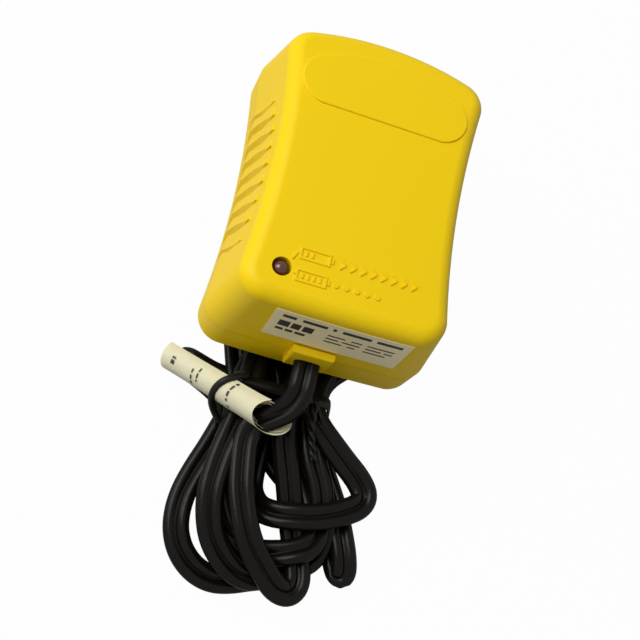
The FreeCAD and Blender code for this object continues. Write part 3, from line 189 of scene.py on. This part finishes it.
# Relay: a blue moulded box, soldered to the board by its pins.
relay_blue = finish_material("relay_blue", (0.015, 0.06, 0.24), 0.3)
add_grain(relay_blue, 0.0005, 0.000006, 0.05)
dressed("relay", relay_blue)

# Control chip, transistor and rectifier diodes: matt black moulded resin on tinned legs.
chip_resin = finish_material("chip_resin", (0.017, 0.017, 0.018), 0.6)
add_grain(chip_resin, 0.0003, 0.00001, 0.15)
for part in ("control_chip", "power_transistor", "rectifier_diodes"):
    dressed(part, chip_resin)

# Resistors: lacquered film resistors in a beige coat, standing off the board on their leads.
resistor_coat = finish_material("resistor_coat", (0.5, 0.36, 0.2), 0.3)
add_grain(resistor_coat, 0.0005, 0.000012, 0.1)
dressed("resistors", resistor_coat)

# Filter capacitor: an aluminium can in a dark shrunk sleeve, upright on the board.
can_sleeve = finish_material("can_sleeve", (0.012, 0.013, 0.03), 0.24)
add_grain(can_sleeve, 0.002, 0.00003, 0.1)
dressed("filter_capacitor", can_sleeve)

# Heat sink: a plain folded aluminium sink behind the transistor, brushed along its fins.
sink_aluminium = finish_material("sink_aluminium", (0.62, 0.63, 0.65), 0.36, 1.0)
add_grain(sink_aluminium, 0.0005, 0.000008, 0.05, (1.0, 1.0, 0.06))
dressed("heat_sink", sink_aluminium)

# Board screws: two small zinc-plated self-tapping screws, with a crossed recess.
screw_steel = finish_material("screw_steel", (0.5, 0.51, 0.53), 0.32, 1.0)
add_grain(screw_steel, 0.0004, 0.00001, 0.08)
dressed("board_screws", screw_steel)

# Secondary leads: two insulated wires from the bobbin's top pins to the board.
dressed("secondary_leads", wire_black)

# Status lamp: a dark red-brown tinted epoxy dome on tinned legs, held off the board by a nylon
# spacer. It stands a little proud of the front face and glints at its rim.
dressed("led_spacer", nylon)
dressed("led_legs", tinned)
lamp_lens = finish_material("lamp_lens", (0.075, 0.014, 0.004), 0.14, 0.0, 0.4)
lamp_shader = lamp_lens.node_tree.nodes["Principled BSDF"]
lamp_shader.inputs["Coat Weight"].default_value = 0.3
lamp_shader.inputs["Coat Roughness"].default_value = 0.08
add_grain(lamp_lens, 0.004, 0.00002, 0.15)
dressed("status_led", lamp_lens, 40.0)

# Cord grommet: a yellow moulded collar clamped in the notch where the two halves meet. The cord
# goes through it to a moulded stop.
dressed("cord_grommet", case_yellow)

# Cord inside the case: the last stretch of the jacket and its two insulated conductors, which run
# up to the board.
cord_black = finish_material("cord_black", (0.0048, 0.004, 0.0027), 0.25, 0.0, 0.11)
add_grain(cord_black, 0.0011, 0.00003, 0.25, (1.0, 1.0, 1.0), 0.012)
dressed("cord_inner", cord_black)
dressed("cord_conductors", wire_black)

# Front shell: the front half of the case, with the raised pad, louvred sides and lamp hole. It is
# one moulding of the same yellow plastic and closes over the cover's lip.
dressed("front_shell", case_yellow)

# Cover screws: four zinc-plated screws, sunk in wells of the rear cover and driven into bosses of
# the front shell.
dressed("cover_screws", screw_steel)

# Rating label: a satin printed film on the foot end, over the collar. Its wording is left off, and
# rows of plain dark dashes stand for print, laid as a thin film of ink.
label_film = finish_material("label_film", (0.95, 0.83, 0.5), 0.38)
add_grain(label_film, 0.002, 0.000006, 0.03)
dressed("rating_label", label_film)
ink = finish_material("print_ink", (0.016, 0.015, 0.013), 0.5)
add_grain(ink, 0.0003, 0.000003, 0.3)


def ink_piece(name, patches):
    """Thin prints as one piece: each patch is a grid of points, row by row, on the face below it."""
    print_shape = bmesh.new()
    for patch in patches:
        rows, columns = len(patch), len(patch[0])
        made = bmesh.ops.create_grid(print_shape, x_segments=columns - 1, y_segments=rows - 1, size=1.0)
        verts = sorted(made["verts"], key=lambda v: (round(v.co.y, 4), round(v.co.x, 4)))
        for vert, point in zip(verts, [point for row in patch for point in row]):
            vert.co = point
    for face in print_shape.faces:
        face.smooth = True
    mesh = bpy.data.meshes.new(name)
    print_shape.to_mesh(mesh)
    print_shape.free()
    mesh.materials.append(ink)
    piece = bpy.data.objects.new(name, mesh)
    bpy.context.scene.collection.objects.link(piece)
    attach(piece, "root")


label_mesh = nodes["rating_label"].data
label_face = BVHTree.FromPolygons(
    [vert.co.copy() for vert in label_mesh.vertices],
    [tuple(face.vertices) for face in label_mesh.polygons],
)
LABEL_SEEN_FROM_Y = -90.0
INK_FILM = 0.02


def on_label(x, z):
    """A place an ink film off the label's face, from its place across and up the foot end in mm."""
    hit = label_face.ray_cast(Vector((x, LABEL_SEEN_FROM_Y, z)) * MM, Vector((0.0, 1.0, 0.0)))[0]
    return hit - Vector((0.0, INK_FILM, 0.0)) * MM


# Each row, in mm: height up the case, height of the dashes, and the start and end of each dash.
LABEL_ROWS = (
    (52.6, 1.5, ((-14.4, -10.6), (-8.8, -1.9), (-0.3, 0.7), (2.4, 10.6), (12.2, 19.6))),
    (48.0, 3.4, ((-14.4, -11.3), (-10.7, -8.2), (-7.5, -4.6))),
    (44.3, 1.4, ((-14.4, -12.2), (-11.6, -9.4), (-8.8, -5.9))),
    (48.6, 0.7, ((-0.6, 4.4), (6.2, 9.2), (10.8, 18.6))),
    (46.6, 0.7, ((-0.6, 3.0), (4.1, 9.2), (10.8, 15.4), (16.2, 18.6))),
    (44.6, 0.7, ((-0.6, 4.6), (6.2, 8.4), (10.8, 17.2))),
)
label_patches = []
for z, height, dashes in LABEL_ROWS:
    for x0, x1 in dashes:
        steps = max(1, round(x1 - x0))
        label_patches.append([
            [on_label(x0 + (x1 - x0) * i / steps, z + height * (side - 0.5)) for i in range(steps + 1)]
            for side in (0, 1)
        ])
ink_piece("label_print", label_patches)

# Output cord: about a metre and a half of limp black twin cord, two cores side by side. It leaves
# the collar, is folded to and fro into a hank of flat turns, and ends in a moulded plug.
# Each point of its middle line is a place in mm and a turn about the line in degrees.
CORD_ROUTE = (
    # Out of the collar and in at the leaflet's mouth.
    (-0.7, -47.7, 30.8, 0), (-0.7, -53.0, 30.8, 0), (-0.8, -57.2, 29.2, 0), (-2.6, -61.0, 26.5, 0),
    (-6.5, -63.4, 22.8, 0), (-10.1, -65.4, 19.4, 10),
    # First loop, on top, and back through the tie.
    (-11.0, -70.4, 17.8, 15), (-10.2, -76.5, 17.6, 15), (-9.2, -83.0, 17.4, 15), (-7.4, -88.3, 17.1, 10),
    (-5.2, -93.9, 16.8, 10), (-1.5, -99.4, 15.5, 15), (3.1, -103.4, 13.2, 20), (7.6, -107.2, 10.9, 25),
    (12.2, -107.8, 9.8, 10), (14.5, -104.1, 9.2, 0), (12.7, -97.5, 9.0, 0), (10.2, -91.0, 9.2, 0),
    (7.9, -84.5, 10.0, 0), (5.6, -78.0, 11.4, 0), (3.0, -71.3, 12.9, 0), (0.6, -65.0, 14.4, 0),
    (-0.4, -57.5, 15.4, 0), (0.2, -49.6, 15.0, 0),
    # Round under the case and down through the tie.
    (6.0, -38.8, 13.4, 0), (16.6, -26.4, 11.4, 0), (17.3, -17.3, 9.9, 0), (12.6, -5.0, 9.9, 0),
    (0.9, 0.3, 9.7, 0), (-10.9, -5.0, 9.4, 0), (-15.7, -17.3, 8.9, 0), (-15.2, -26.2, 8.3, 0),
    (-9.5, -38.2, 8.0, 0), (-3.8, -49.2, 8.1, 0), (-3.6, -58.2, 8.5, 0),
    # Second loop, which swings out to the right, and back.
    (-4.8, -69.3, 7.0, 0), (-4.8, -75.7, 6.5, 0), (-4.6, -81.2, 7.3, 0), (-2.0, -85.7, 9.4, 10),
    (2.0, -87.4, 12.5, 10), (8.2, -87.0, 14.6, 10), (15.1, -85.6, 15.2, 10), (22.4, -82.4, 15.0, 5),
    (26.8, -79.4, 14.5, 0), (28.0, -75.8, 14.1, -15), (25.2, -71.9, 14.1, -20), (20.2, -68.1, 14.5, -10),
    (14.8, -63.9, 15.2, -5), (9.4, -59.4, 15.6, 0), (6.5, -54.6, 15.7, 0), (6.2, -47.8, 15.4, 0),
    # Round under the case and down.
    (9.2, -39.0, 15.1, 0), (14.7, -26.2, 14.9, 0), (14.6, -17.1, 14.7, 0), (10.7, -8.6, 14.7, 0),
    (1.9, -4.8, 14.7, 0), (-6.9, -8.7, 14.7, 0), (-10.6, -17.2, 14.8, 0), (-10.6, -26.3, 14.8, 0),
    (-11.6, -38.3, 14.9, 0), (-12.6, -49.4, 15.3, 0), (-12.8, -58.5, 16.0, 0),
    # Third loop, and back.
    (-15.7, -71.8, 16.4, 10), (-16.6, -79.4, 15.4, 15), (-16.8, -86.3, 14.5, 15), (-15.4, -92.5, 13.5, 15),
    (-13.0, -97.9, 12.3, 15), (-8.8, -102.2, 10.5, 15), (-3.4, -105.2, 8.4, 15), (2.2, -105.2, 6.5, 5),
    (7.1, -101.4, 5.6, 0), (12.7, -99.6, 5.8, -10), (17.5, -96.3, 7.1, 0), (19.3, -90.4, 8.6, 0),
    (17.5, -83.4, 10.4, 0), (15.0, -75.4, 11.5, 0), (11.0, -68.5, 11.8, 0), (7.6, -58.1, 11.9, 0),
    (7.6, -49.1, 10.9, 0),
    # Round under the case and down.
    (9.6, -38.0, 9.9, 0), (7.3, -26.0, 9.6, 0), (7.5, -17.0, 9.7, 0), (5.3, -12.2, 10.0, 0),
    (0.1, -9.9, 10.3, 0), (-5.1, -12.2, 10.5, 0), (-7.3, -16.9, 10.8, 0), (-7.3, -25.9, 11.1, 0),
    (-10.6, -37.9, 11.3, 0), (-14.0, -48.9, 11.6, 0), (-14.3, -57.9, 12.0, 0),
    # Fourth loop, short and turned on edge, and back.
    (-13.7, -71.5, 11.1, 20), (-14.8, -77.5, 10.1, 45), (-13.8, -83.4, 9.4, 60), (-11.2, -89.5, 9.1, 65),
    (-7.8, -94.3, 8.9, 60), (-3.3, -97.6, 8.6, 40), (2.6, -98.4, 9.0, 20), (9.9, -96.6, 12.3, -20),
    (15.4, -93.7, 12.5, -10), (16.8, -88.0, 10.8, 0), (14.2, -80.2, 8.7, 0), (10.0, -73.0, 8.2, 0),
    (5.5, -66.5, 8.6, 0), (1.5, -57.8, 9.3, 0), (1.5, -49.0, 9.1, 0),
    # Round under the case and down.
    (1.6, -38.0, 6.4, 0), (9.6, -26.0, 4.1, 0), (10.0, -17.0, 1.8, 0), (7.5, -10.3, 2.0, 0),
    (1.1, -7.2, 2.0, 0), (-5.2, -10.1, 2.0, 0), (-7.6, -16.6, 1.9, 0), (-7.1, -25.5, 1.9, 0),
    (-5.1, -37.4, 2.1, 0), (-3.4, -48.4, 2.5, 0), (-3.4, -57.3, 2.8, 0),
    # Fifth loop, a tight fold on the right, and back.
    (-1.2, -67.6, 3.2, 0), (4.2, -72.8, 3.6, 0), (10.4, -76.8, 4.0, 0), (16.0, -80.2, 4.2, 0),
    (20.4, -84.8, 4.4, 0), (23.2, -90.6, 4.4, 0), (25.0, -94.2, 4.3, 0), (26.8, -98.4, 5.0, 0),
    (27.6, -98.3, 8.0, 0), (26.4, -93.8, 9.2, 0), (24.6, -88.6, 9.0, 0), (22.8, -83.6, 8.3, 0),
    (19.9, -77.6, 7.6, 0), (16.4, -71.4, 7.0, 0), (12.8, -65.0, 6.7, 0), (9.6, -57.2, 6.5, 0),
    (9.4, -48.3, 6.5, 0),
    # Round under the case, with a fold that lies behind the leaflet, and down.
    (11.4, -38.4, 6.6, 0), (16.1, -25.5, 6.5, 0), (16.2, -16.6, 6.3, 0), (11.7, -6.2, 6.1, 0),
    (1.3, -1.7, 6.0, 0), (-9.0, -6.2, 5.9, 0), (-13.4, -16.5, 5.8, 0), (-13.2, -25.5, 4.4, 0),
    (-12.6, -36.6, 4.2, 0), (-12.8, -44.0, 5.0, 0), (-16.6, -50.2, 5.6, 0), (-22.3, -49.9, 5.8, 0),
    (-27.5, -48.4, 5.8, 0), (-31.2, -47.2, 5.5, 0), (-31.8, -47.4, 2.8, 0), (-27.2, -49.6, 2.0, 0),
    (-22.2, -51.8, 2.0, 0), (-17.0, -54.8, 2.0, 0), (-12.6, -60.0, 2.0, 0),
    # Sixth loop, which the others hide, and back.
    (-11.3, -71.9, 2.1, 0), (-12.8, -79.6, 2.0, 0), (-11.6, -86.4, 1.9, 0), (-8.1, -92.1, 2.0, 0),
    (-3.0, -96.4, 2.0, 0), (3.4, -98.2, 2.0, 0), (10.0, -96.2, 1.9, 0), (14.5, -90.8, 2.0, 0),
    (15.2, -84.5, 2.0, 0), (13.0, -78.4, 2.0, 0), (9.8, -72.4, 2.1, 0), (3.0, -57.2, 2.1, 0),
    (2.6, -48.3, 2.0, 0),
    # Round under the case and down.
    (10.8, -37.3, 1.9, 0), (17.9, -25.4, 1.8, 0), (18.1, -16.4, 1.9, 0), (12.4, -2.4, 2.1, 0),
    (-1.3, 3.5, 2.4, 0), (-15.1, -2.7, 2.7, 0), (-21.1, -17.0, 3.1, 0), (-20.8, -26.2, 4.9, 0),
    (-18.0, -38.2, 6.5, 0), (-14.9, -49.3, 7.8, 0), (-14.4, -58.3, 7.6, 0),
    # Seventh loop, the widest, down to the floor, and back.
    (-18.2, -71.2, 7.2, 10), (-20.9, -78.4, 6.7, 15), (-23.0, -85.8, 6.3, 20), (-23.4, -92.2, 6.0, 25),
    (-22.3, -97.8, 5.5, 25), (-19.4, -102.6, 4.8, 20), (-14.8, -106.1, 3.7, 15), (-9.2, -107.6, 2.7, 5),
    (-3.6, -106.6, 2.2, 0), (2.3, -104.3, 2.1, 0), (8.0, -102.6, 2.0, 0), (13.2, -97.8, 2.0, 0),
    (17.2, -91.5, 1.9, 0), (19.4, -84.6, 2.0, 0), (19.4, -77.5, 2.2, 0), (17.8, -71.2, 2.3, 0),
    (14.6, -65.4, 2.2, 0), (9.8, -58.5, 2.1, 0), (10.0, -49.5, 2.1, 0),
    # To the plug, beside the case.
    (11.6, -41.0, 2.6, 0), (19.0, -34.0, 3.4, 0), (23.2, -27.0, 4.2, 0), (24.2, -18.0, 4.5, 0),
    (24.4, -10.5, 4.6, 0), (25.4, -6.5, 5.0, 0), (25.4, -2.4, 5.0, 0),
)


def bent_line(name, points, order=3, closed=False, steps=6):
    """A smooth NURBS line through control points given in mm, each with its turn in degrees."""
    curve = bpy.data.curves.new(name, "CURVE")
    curve.dimensions = "3D"
    curve.twist_mode = "Z_UP"
    curve.resolution_u = steps
    spline = curve.splines.new("NURBS")
    spline.points.add(len(points) - 1)
    for point, (x, y, z, turned) in zip(spline.points, points):
        point.co = (x * MM, y * MM, z * MM, 1.0)
        point.tilt = math.radians(turned)
    spline.order_u = order
    spline.use_cyclic_u = closed
    spline.use_endpoint_u = not closed
    line = bpy.data.objects.new(name, curve)
    bpy.context.scene.collection.objects.link(line)
    return line


def swept(name, line, outline):
    """One closed mesh: the outline, given in metres, swept along the line. The line is used up."""
    curve = bpy.data.curves.new(name + "_outline", "CURVE")
    spline = curve.splines.new("POLY")
    spline.points.add(len(outline) - 1)
    for point, (x, y) in zip(spline.points, outline):
        point.co = (x, y, 0.0, 1.0)
    spline.use_cyclic_u = True
    section = bpy.data.objects.new(name + "_outline", curve)
    bpy.context.scene.collection.objects.link(section)
    line.data.bevel_mode = "OBJECT"
    line.data.bevel_object = section
    line.data.use_fill_caps = True
    bpy.context.view_layer.update()
    mesh = bpy.data.meshes.new_from_object(line.evaluated_get(bpy.context.evaluated_depsgraph_get()))
    mesh.name = name
    bpy.data.objects.remove(line)
    bpy.data.objects.remove(section)
    mesh.shade_smooth()
    mesh.materials.clear()
    piece = bpy.data.objects.new(name, mesh)
    bpy.context.scene.collection.objects.link(piece)
    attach(piece, "root")
    return piece


# The jacket's outline: two round cores, each as far out as CORD_CORE_OUT, with a web between them.
CORD_CORE_R = 1.95 * MM
CORD_CORE_OUT = 1.9 * MM
CORD_HALF_WEB = 0.75 * MM
CORE_SIDES = 12
web_turn = math.asin(CORD_HALF_WEB / CORD_CORE_R)
right_core = []
for side in range(CORE_SIDES + 1):
    angle = (math.pi - web_turn) * (1 - 2 * side / CORE_SIDES)
    right_core.append((CORD_CORE_OUT + CORD_CORE_R * math.cos(angle), CORD_CORE_R * math.sin(angle)))
twin_outline = right_core + [(-x, -y) for x, y in right_core]
CORD_POINT_GAP = 0.8 * MM
cord_route = bent_line("cord_route", CORD_ROUTE)
cord_points = []
for vert in bpy.data.meshes.new_from_object(cord_route).vertices:
    if not cord_points or (Vector(cord_points[-1]) - vert.co).length > CORD_POINT_GAP:
        cord_points.append(tuple(vert.co))
cord = swept("output_cord", cord_route, twin_outline)
cord.data.materials.append(cord_black)
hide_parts("cord_lead", "cord_hank", "cord_tail")

# Output plug: a moulded black vinyl handle with a tapered strain relief, and a nickel-plated
# barrel contact. The jacket's end is moulded into the relief.
plug_vinyl = finish_material("plug_vinyl", (0.009, 0.0085, 0.008), 0.38, 0.0, 0.2)
add_grain(plug_vinyl, 0.0006, 0.00001, 0.15)
dressed("output_plug_relief", plug_vinyl)
dressed("output_plug_body", plug_vinyl)
contact_nickel = finish_material("contact_nickel", (0.68, 0.66, 0.62), 0.2, 1.0)
add_grain(contact_nickel, 0.0005, 0.000004, 0.04)
dressed("output_plug_contact", contact_nickel)

# Hank tie: a flat black strip with a wire in it, wrapped round the waist of the hank. Its two ends
# are twisted together on top and left standing towards the cord's loops.
tie_black = finish_material("tie_black", (0.007, 0.0065, 0.005), 0.34, 0.0, 0.16)
add_grain(tie_black, 0.0007, 0.00002, 0.2)
TIE_Y = -53.0
STRIP_HALF_T = 0.3 * MM
STRIP_HALF_W = 1.6 * MM
strip_outline = [
    (-STRIP_HALF_T, -STRIP_HALF_W), (STRIP_HALF_T, -STRIP_HALF_W),
    (STRIP_HALF_T, STRIP_HALF_W), (-STRIP_HALF_T, STRIP_HALF_W),
]
# Round the waist, from the floor on the left: places across and up, in mm.
STRIP_AROUND = (
    (-17.2, 3.0), (-17.0, 0.9), (-14.0, 0.5), (0.0, 0.4), (11.0, 0.5), (14.0, 0.9), (14.4, 4.0), (14.1, 8.0),
    (12.4, 13.5), (11.1, 17.2), (8.5, 18.0), (0.0, 18.2), (-13.5, 18.2), (-17.0, 17.4), (-17.4, 14.0),
)
strip_route = [(x, TIE_Y, z, 90) for x, z in STRIP_AROUND]
strip = swept("hank_strip", bent_line("hank_strip_line", strip_route, closed=True), strip_outline)
strip.data.materials.append(tie_black)
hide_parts("hank_tie")
# The twisted ends, in mm: their middle line, the length of one twist, how far each end lies from
# the middle line, and its half width and half height.
TWIST_ROUTE = (
    (7.5, -53.0, 18.7), (6.9, -57.0, 18.9), (7.1, -61.0, 18.4), (8.0, -64.5, 17.7), (9.2, -67.5, 17.0),
    (10.6, -70.6, 16.0),
)
TWIST_STEP = 6.2
TWIST_OUT = 0.62
TWIST_END_SIZE = (0.62, 0.5)
TWIST_POINTS = 6


def oval(half_width, half_height, sides):
    """An outline for swept, in metres, from its half width and half height in mm."""
    angles = [2 * math.pi * k / sides for k in range(sides)]
    return [(half_width * MM * math.cos(angle), half_height * MM * math.sin(angle)) for angle in angles]


for end in (0, 1):
    spots, gone = [], 0.0
    for here, there in zip(TWIST_ROUTE, TWIST_ROUTE[1:]):
        here, there = Vector(here), Vector(there)
        run = (there - here).length
        along = (there - here).normalized()
        side = along.cross(Vector((0.0, 0.0, 1.0))).normalized()
        lift = side.cross(along)
        for k in range(TWIST_POINTS):
            share = k / TWIST_POINTS
            angle = 2 * math.pi * (gone + share * run) / TWIST_STEP + math.pi * end
            spot = here.lerp(there, share) + (side * math.cos(angle) + lift * math.sin(angle)) * TWIST_OUT
            spots.append((*spot, 0.0))
        gone += run
    wire = swept("tie_twist_%d" % end, bent_line("tie_twist_line", spots, steps=3), oval(*TWIST_END_SIZE, 10))
    wire.data.materials.append(tie_black)

# Leaflet roll: a printed leaflet of thin cream paper, rolled up and tucked into the cord. It is one
# spiral sheet with a free edge on its upper side, and its mouth slants round the lead that enters it.
leaflet_paper = finish_material("leaflet_paper", (0.73, 0.68, 0.44), 0.6)
leaflet_shader = leaflet_paper.node_tree.nodes["Principled BSDF"]
leaflet_shader.inputs["Subsurface Weight"].default_value = 0.25
leaflet_shader.inputs["Subsurface Scale"].default_value = 0.0015
leaflet_shader.inputs["Subsurface Radius"].default_value = (1.0, 0.8, 0.4)
add_grain(leaflet_paper, 0.0025, 0.00006, 0.03)
# The roll, in mm: the middles of its two ends, its outer radius, the step from turn to turn, the
# sheet's thickness, and where its free edge lies, turned from the side that faces the camera.
ROLL_MOUTH = Vector((-6.4, -63.6, 24.6))
ROLL_END = Vector((-36.3, -48.7, 8.5))
ROLL_OUTER = 4.35
ROLL_PITCH = 0.72
ROLL_TURNS = 2.35
ROLL_SHEET = 0.22
ROLL_EDGE_AT = math.radians(62.0)
# How its shape strays from a true roll: the mouth is cut back on the near side, slants out to a
# lip on the far side, steps back on each inner turn and flares. The free edge stands off a little,
# the far end is askew, and the tube is slightly thicker and thinner along its length.
MOUTH_CUT_BACK = 3.6
MOUTH_SLANT = 9.1
MOUTH_STEP_BACK = 0.08
MOUTH_FLARE = 0.1
EDGE_LOOSE = 0.35
END_ASKEW = 0.5
ROLL_UNEVEN = 0.03
roll_length = (ROLL_END - ROLL_MOUTH).length
roll_along = (ROLL_END - ROLL_MOUTH).normalized()
roll_face = camera_back - roll_along * camera_back.dot(roll_along)
roll_face.normalize()
roll_rise = roll_along.cross(roll_face)


def on_roll(wound, share, lift=0.0):
    """A place on the sheet: wound in radians in from its free edge, share along it from the mouth."""
    angle = ROLL_EDGE_AT - wound
    flare = MOUTH_FLARE * max(0.0, 1.0 - share * 4.0) ** 2
    swell = 1.0 + flare + ROLL_UNEVEN * math.sin(5.0 * share + 0.6)
    radius = (ROLL_OUTER - ROLL_PITCH * wound / (2 * math.pi)) * swell + lift
    loose = EDGE_LOOSE * math.exp(-wound / 0.25) * (1.0 - 0.6 * share)
    mouth = MOUTH_CUT_BACK - MOUTH_SLANT * (1.0 - math.cos(angle)) / 2 + MOUTH_STEP_BACK * wound
    far_end = roll_length + END_ASKEW * math.sin(angle + 0.8)
    spoke = roll_face * math.cos(angle) + roll_rise * math.sin(angle)
    return (ROLL_MOUTH + roll_along * (mouth + (far_end - mouth) * share) + spoke * (radius + loose)) * MM


SHEET_AROUND, SHEET_ALONG = 120, 36
sheet = bmesh.new()
made = bmesh.ops.create_grid(sheet, x_segments=SHEET_AROUND, y_segments=SHEET_ALONG, size=1.0)
for vert in made["verts"]:
    wound = (vert.co.x + 1.0) / 2 * ROLL_TURNS * 2 * math.pi
    vert.co = on_roll(wound, (vert.co.y + 1.0) / 2)
bmesh.ops.solidify(sheet, geom=sheet.faces[:], thickness=ROLL_SHEET * MM)
bmesh.ops.recalc_face_normals(sheet, faces=sheet.faces[:])
for face in sheet.faces:
    face.smooth = True
roll_mesh = bpy.data.meshes.new("leaflet_sheet")
sheet.to_mesh(roll_mesh)
sheet.free()
roll_mesh.set_sharp_from_angle(angle=math.radians(50))
roll_mesh.materials.append(leaflet_paper)
roll = bpy.data.objects.new("leaflet_sheet", roll_mesh)
bpy.context.scene.collection.objects.link(roll)
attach(roll, "root")
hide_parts("leaflet_roll")
# Print: rows of plain dashes that run round the roll. Each row: share along the roll, width of
# the dashes along it, and their starts and ends in degrees from the side that faces the camera.
PRINT_OFF = ROLL_SHEET + 0.03
PRINT_ROWS = (
    (0.86, 0.035, ((-18, -2), (4, 12))),
    (0.66, 0.014, ((-52, -38), (-32, -14), (-6, 10))),
    (0.60, 0.014, ((-30, -22), (-16, 4), (10, 26))),
    (0.27, 0.018, ((-58, -46), (-30, -20), (-12, 8), (14, 34), (40, 50))),
)
roll_patches = []
for share, width, dashes in PRINT_ROWS:
    for low, high in dashes:
        steps = max(2, round((high - low) / 4))
        turned = [ROLL_EDGE_AT - math.radians(low + (high - low) * i / steps) for i in range(steps + 1)]
        roll_patches.append([
            [on_roll(wound, share + width * side, PRINT_OFF) for wound in turned] for side in (0, 1)
        ])
ink_piece("leaflet_print", roll_patches)

# Leaflet band: a loop of thin black elastic that holds the roll against the hank. It goes over the
# roll, hangs clear of it on the left and is caught under the hank's outer turns.
BAND_R = 1.05
BAND_ROUTE = (
    (-16.2, -51.6, 19.0, 0), (-14.6, -52.3, 21.0, 0), (-16.3, -53.2, 22.0, 0), (-18.9, -54.4, 22.2, 0),
    (-20.8, -55.6, 22.1, 0), (-22.2, -57.0, 21.3, 0), (-23.0, -58.5, 19.9, 0), (-23.1, -59.9, 18.0, 0),
    (-22.4, -61.1, 15.6, 0), (-21.2, -62.2, 13.4, 0), (-19.8, -63.4, 12.0, 0), (-18.4, -64.6, 11.2, 0),
    (-17.0, -65.2, 10.6, 0), (-15.8, -64.2, 9.2, 0), (-16.2, -60.5, 8.8, 0), (-17.4, -56.5, 10.0, 0),
    (-18.0, -53.6, 12.6, 0), (-17.8, -52.0, 16.0, 0),
)
band_line = bent_line("leaflet_loop_line", BAND_ROUTE, order=4, closed=True)
band = swept("leaflet_loop", band_line, oval(BAND_R, BAND_R, 12))
band.data.materials.append(tie_black)
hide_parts("leaflet_band")

# Studio: a plain white floor at the height the charger lies on, which keeps its faint shadow, two
# soft boxes on the upper left and an even, pale room.
floor_shape = bmesh.new()
bmesh.ops.create_grid(floor_shape, x_segments=1, y_segments=1, size=3.0)
floor_mesh = bpy.data.meshes.new("studio_floor")
floor_shape.to_mesh(floor_mesh)
floor_shape.free()
floor = bpy.data.objects.new("studio_floor", floor_mesh)
bpy.context.scene.collection.objects.link(floor)
floor_white = finish_material("floor_white", (0.55, 0.55, 0.55), 0.9, 0.0, 0.0)
floor_mesh.materials.append(floor_white)
# The camera sees this share of plain white in the floor, and the rest is lit, with its shadow.
FLOOR_WHITE_SHARE = 0.975
floor_tree = floor_white.node_tree
floor_rays = floor_tree.nodes.new("ShaderNodeLightPath")
floor_glow = floor_tree.nodes.new("ShaderNodeEmission")
floor_glow.inputs["Strength"].default_value = 1.0
floor_mix = floor_tree.nodes.new("ShaderNodeMixShader")
glow_share = floor_tree.nodes.new("ShaderNodeMath")
glow_share.operation = "MULTIPLY"
glow_share.inputs[1].default_value = FLOOR_WHITE_SHARE
floor_tree.links.new(floor_rays.outputs["Is Camera Ray"], glow_share.inputs[0])
floor_tree.links.new(glow_share.outputs[0], floor_mix.inputs["Fac"])
floor_tree.links.new(floor_tree.nodes["Principled BSDF"].outputs["BSDF"], floor_mix.inputs[1])
floor_tree.links.new(floor_glow.outputs["Emission"], floor_mix.inputs[2])
floor_tree.links.new(floor_mix.outputs["Shader"], floor_tree.nodes["Material Output"].inputs["Surface"])


def softbox(name, place, size, power, aim=(0.0, -0.02, 0.03)):
    """A soft square lamp, its place, size and aim in metres and its power in watts."""
    lamp_data = bpy.data.lights.new(name, "AREA")
    lamp_data.shape = "RECTANGLE"
    lamp_data.size, lamp_data.size_y = size
    lamp_data.energy = power
    box = bpy.data.objects.new(name, lamp_data)
    box.location = place
    box.rotation_euler = (Vector(aim) - Vector(place)).to_track_quat("-Z", "Y").to_euler()
    bpy.context.scene.collection.objects.link(box)


softbox("softbox_over", (-0.55, 0.12, 0.85), (0.6, 0.6), 8.0)
softbox("softbox_side", (-0.9, 0.1, 0.35), (0.4, 0.4), 1.5)

# The room lights the charger at ROOM_LIGHT, and is plain white where the camera sees it, straight,
# in a reflection or through clear plastic.
ROOM_LIGHT = 0.28
world = bpy.data.worlds.new("studio_air")
bpy.context.scene.world = world
world.use_nodes = True
air_tree = world.node_tree
air = air_tree.nodes["Background"]
air.inputs["Color"].default_value = (1.0, 1.0, 1.0, 1.0)
air_rays = air_tree.nodes.new("ShaderNodeLightPath")
mirrored = air_tree.nodes.new("ShaderNodeMath")
mirrored.operation = "MAXIMUM"
seen = air_tree.nodes.new("ShaderNodeMath")
seen.operation = "MAXIMUM"
level = air_tree.nodes.new("ShaderNodeMapRange")
level.inputs["To Min"].default_value = ROOM_LIGHT
level.inputs["To Max"].default_value = 1.0
air_tree.links.new(air_rays.outputs["Is Glossy Ray"], mirrored.inputs[0])
air_tree.links.new(air_rays.outputs["Is Transmission Ray"], mirrored.inputs[1])
air_tree.links.new(air_rays.outputs["Is Camera Ray"], seen.inputs[0])
air_tree.links.new(mirrored.outputs[0], seen.inputs[1])
air_tree.links.new(seen.outputs[0], level.inputs["Value"])
air_tree.links.new(level.outputs["Result"], air.inputs["Strength"])
bpy.context.scene.view_settings.view_transform = "Standard"
